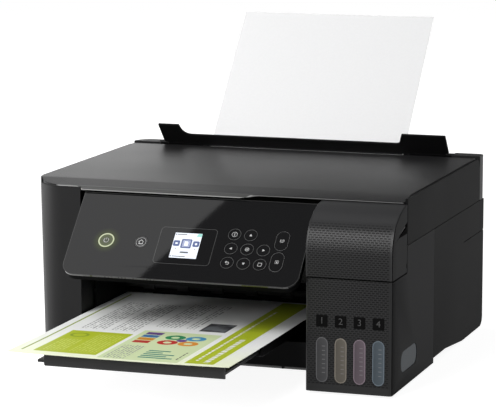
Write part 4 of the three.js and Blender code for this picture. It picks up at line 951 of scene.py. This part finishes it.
zinc_can = Finish("zinc can", (0.50, 0.50, 0.48), 0.38, metallic=1.0)
zinc_can.speckle(50.0, (0.42, 0.42, 0.40), (0.58, 0.57, 0.54), 4.0)
zinc_can.bump(zinc_can.noise(500.0), 0.08, 0.0001)
for motor in ("feed_motor", "carriage_motor"):
    dress(motor, zinc_can, 0.3 * MM)
wheel_plastic = moulded("wheel plastic", (0.30, 0.29, 0.26), 0.45, 0.1)
dress("belt_pulley", wheel_plastic, 0.2 * MM)
belt_rubber = Finish("belt rubber", grey(0.014), 0.7)
_, x, _, _ = belt_rubber.place()
teeth = (x / (2.0 * MM)).fraction().below(0.5, 0.1)
belt_rubber.vary("Base Color", belt_rubber.mix(teeth, grey(0.010), grey(0.024)))
belt_rubber.bump(teeth, 0.5, 0.0004)
dress("carriage_belt", belt_rubber, 0.2 * MM)

# ---- Studio ----
# A white sweep of floor under soft lamps, and the camera a little right of the front and
# slightly above, with a long lens.

floor_finish = Finish("studio floor", grey(0.35), 0.8, specular=0.0)
FLOOR_GLOW = 0.92
SKY_GLOW, SKY_LIGHT = 0.84, 0.16


def background_rays(finish):
    """1 where the eye, a gloss or a clear piece looks at the background, and 0 for its light."""
    eye, gloss, clear = [finish.node("LightPath", {}, {}, ray)
                         for ray in ("Is Camera Ray", "Is Glossy Ray", "Is Transmission Ray")]
    return eye.greater(gloss.greater(clear))


glow_strength = background_rays(floor_finish) * FLOOR_GLOW
glow = floor_finish.node("Emission", {}, {"Color": (1, 1, 1, 1), "Strength": glow_strength})
plain_floor = Wire(floor_finish, floor_finish.shader.outputs[0])
lit_floor = floor_finish.node("AddShader", {}, {0: plain_floor, 1: glow})
floor_finish.feed(floor_finish.tree.nodes["Material Output"].inputs[0], lit_floor)
floor_mesh = bpy.data.meshes.new("floor")
floor_mesh.from_pydata([(-9, -6, 0), (9, -6, 0), (9, 14, 0), (-9, 14, 0)], [], [(0, 1, 2, 3)])
floor_mesh.materials.append(floor_finish.material)
floor = bpy.data.objects.new("floor", floor_mesh)
bpy.context.collection.objects.link(floor)

world = bpy.data.worlds.new("studio")
world.use_nodes = True
bpy.context.scene.world = world
air = Nodes(world.node_tree)
height = air.node("SeparateXYZ", {}, {0: air.node("TexCoord", {}, {}, "Generated")}, 2)
sky = world.node_tree.nodes["Background"]
air.feed(sky.inputs[0], (1, 1, 1, 1))
sky_strength = background_rays(air) * height.below(0.09, 0.01) * SKY_GLOW + SKY_LIGHT
air.feed(sky.inputs[1], sky_strength)


def softbox(name, position, aim, width, height, power, turn=0.0):
    lamp = bpy.data.lights.new(name, "AREA")
    lamp.shape = "RECTANGLE"
    lamp.size = width
    lamp.size_y = height
    lamp.energy = power
    holder = bpy.data.objects.new(name, lamp)
    bpy.context.collection.objects.link(holder)
    holder.location = position
    towards = (Vector(aim) - Vector(position)).to_track_quat("-Z", "Y").to_matrix()
    holder.rotation_euler = (towards @ Matrix.Rotation(math.radians(turn), 3, "Z")).to_euler()


softbox("overhead", (-1.055, 0.043, 1.7), (-1.055, 0.043, 0), 1.8, 1.4, 6.9, 42)
softbox("rear left", (-1.04, 1.5, 0.7), (-0.1, 0, 0.17), 0.8, 1.2, 5.6)
softbox("key", (-1.0, -2.1, 2.1), (0, 0, 0.1), 1.6, 1.6, 78)
softbox("low front", (-0.6, -2.2, 0.85), (-0.05, -0.1, 0.06), 0.9, 0.5, 12)
softbox("rear", (0.75, 2.2, 0.9), (0, 0.17, 0.1), 1.0, 1.0, 12)
softbox("left", (-1.6, -0.1, 0.4), (-0.1, 0, 0.1), 1.6, 0.7, 14)

AZIMUTH, ELEVATION = math.radians(18.676), math.radians(9.129)
DISTANCE = 2.52785
AIM = Vector((-0.00023, -0.00953, 0.14681))
camera_data = bpy.data.cameras.new("camera")
camera_data.lens = 188.65
camera_data.sensor_width = 36.0
camera = bpy.data.objects.new("camera", camera_data)
bpy.context.collection.objects.link(camera)
away = Vector((math.sin(AZIMUTH) * math.cos(ELEVATION), -math.cos(AZIMUTH) * math.cos(ELEVATION),
               math.sin(ELEVATION)))
camera.location = AIM + away * DISTANCE
camera.rotation_euler = (-away).to_track_quat("-Z", "Y").to_euler()
scene = bpy.context.scene
scene.camera = camera
scene.view_settings.view_transform = "Standard"
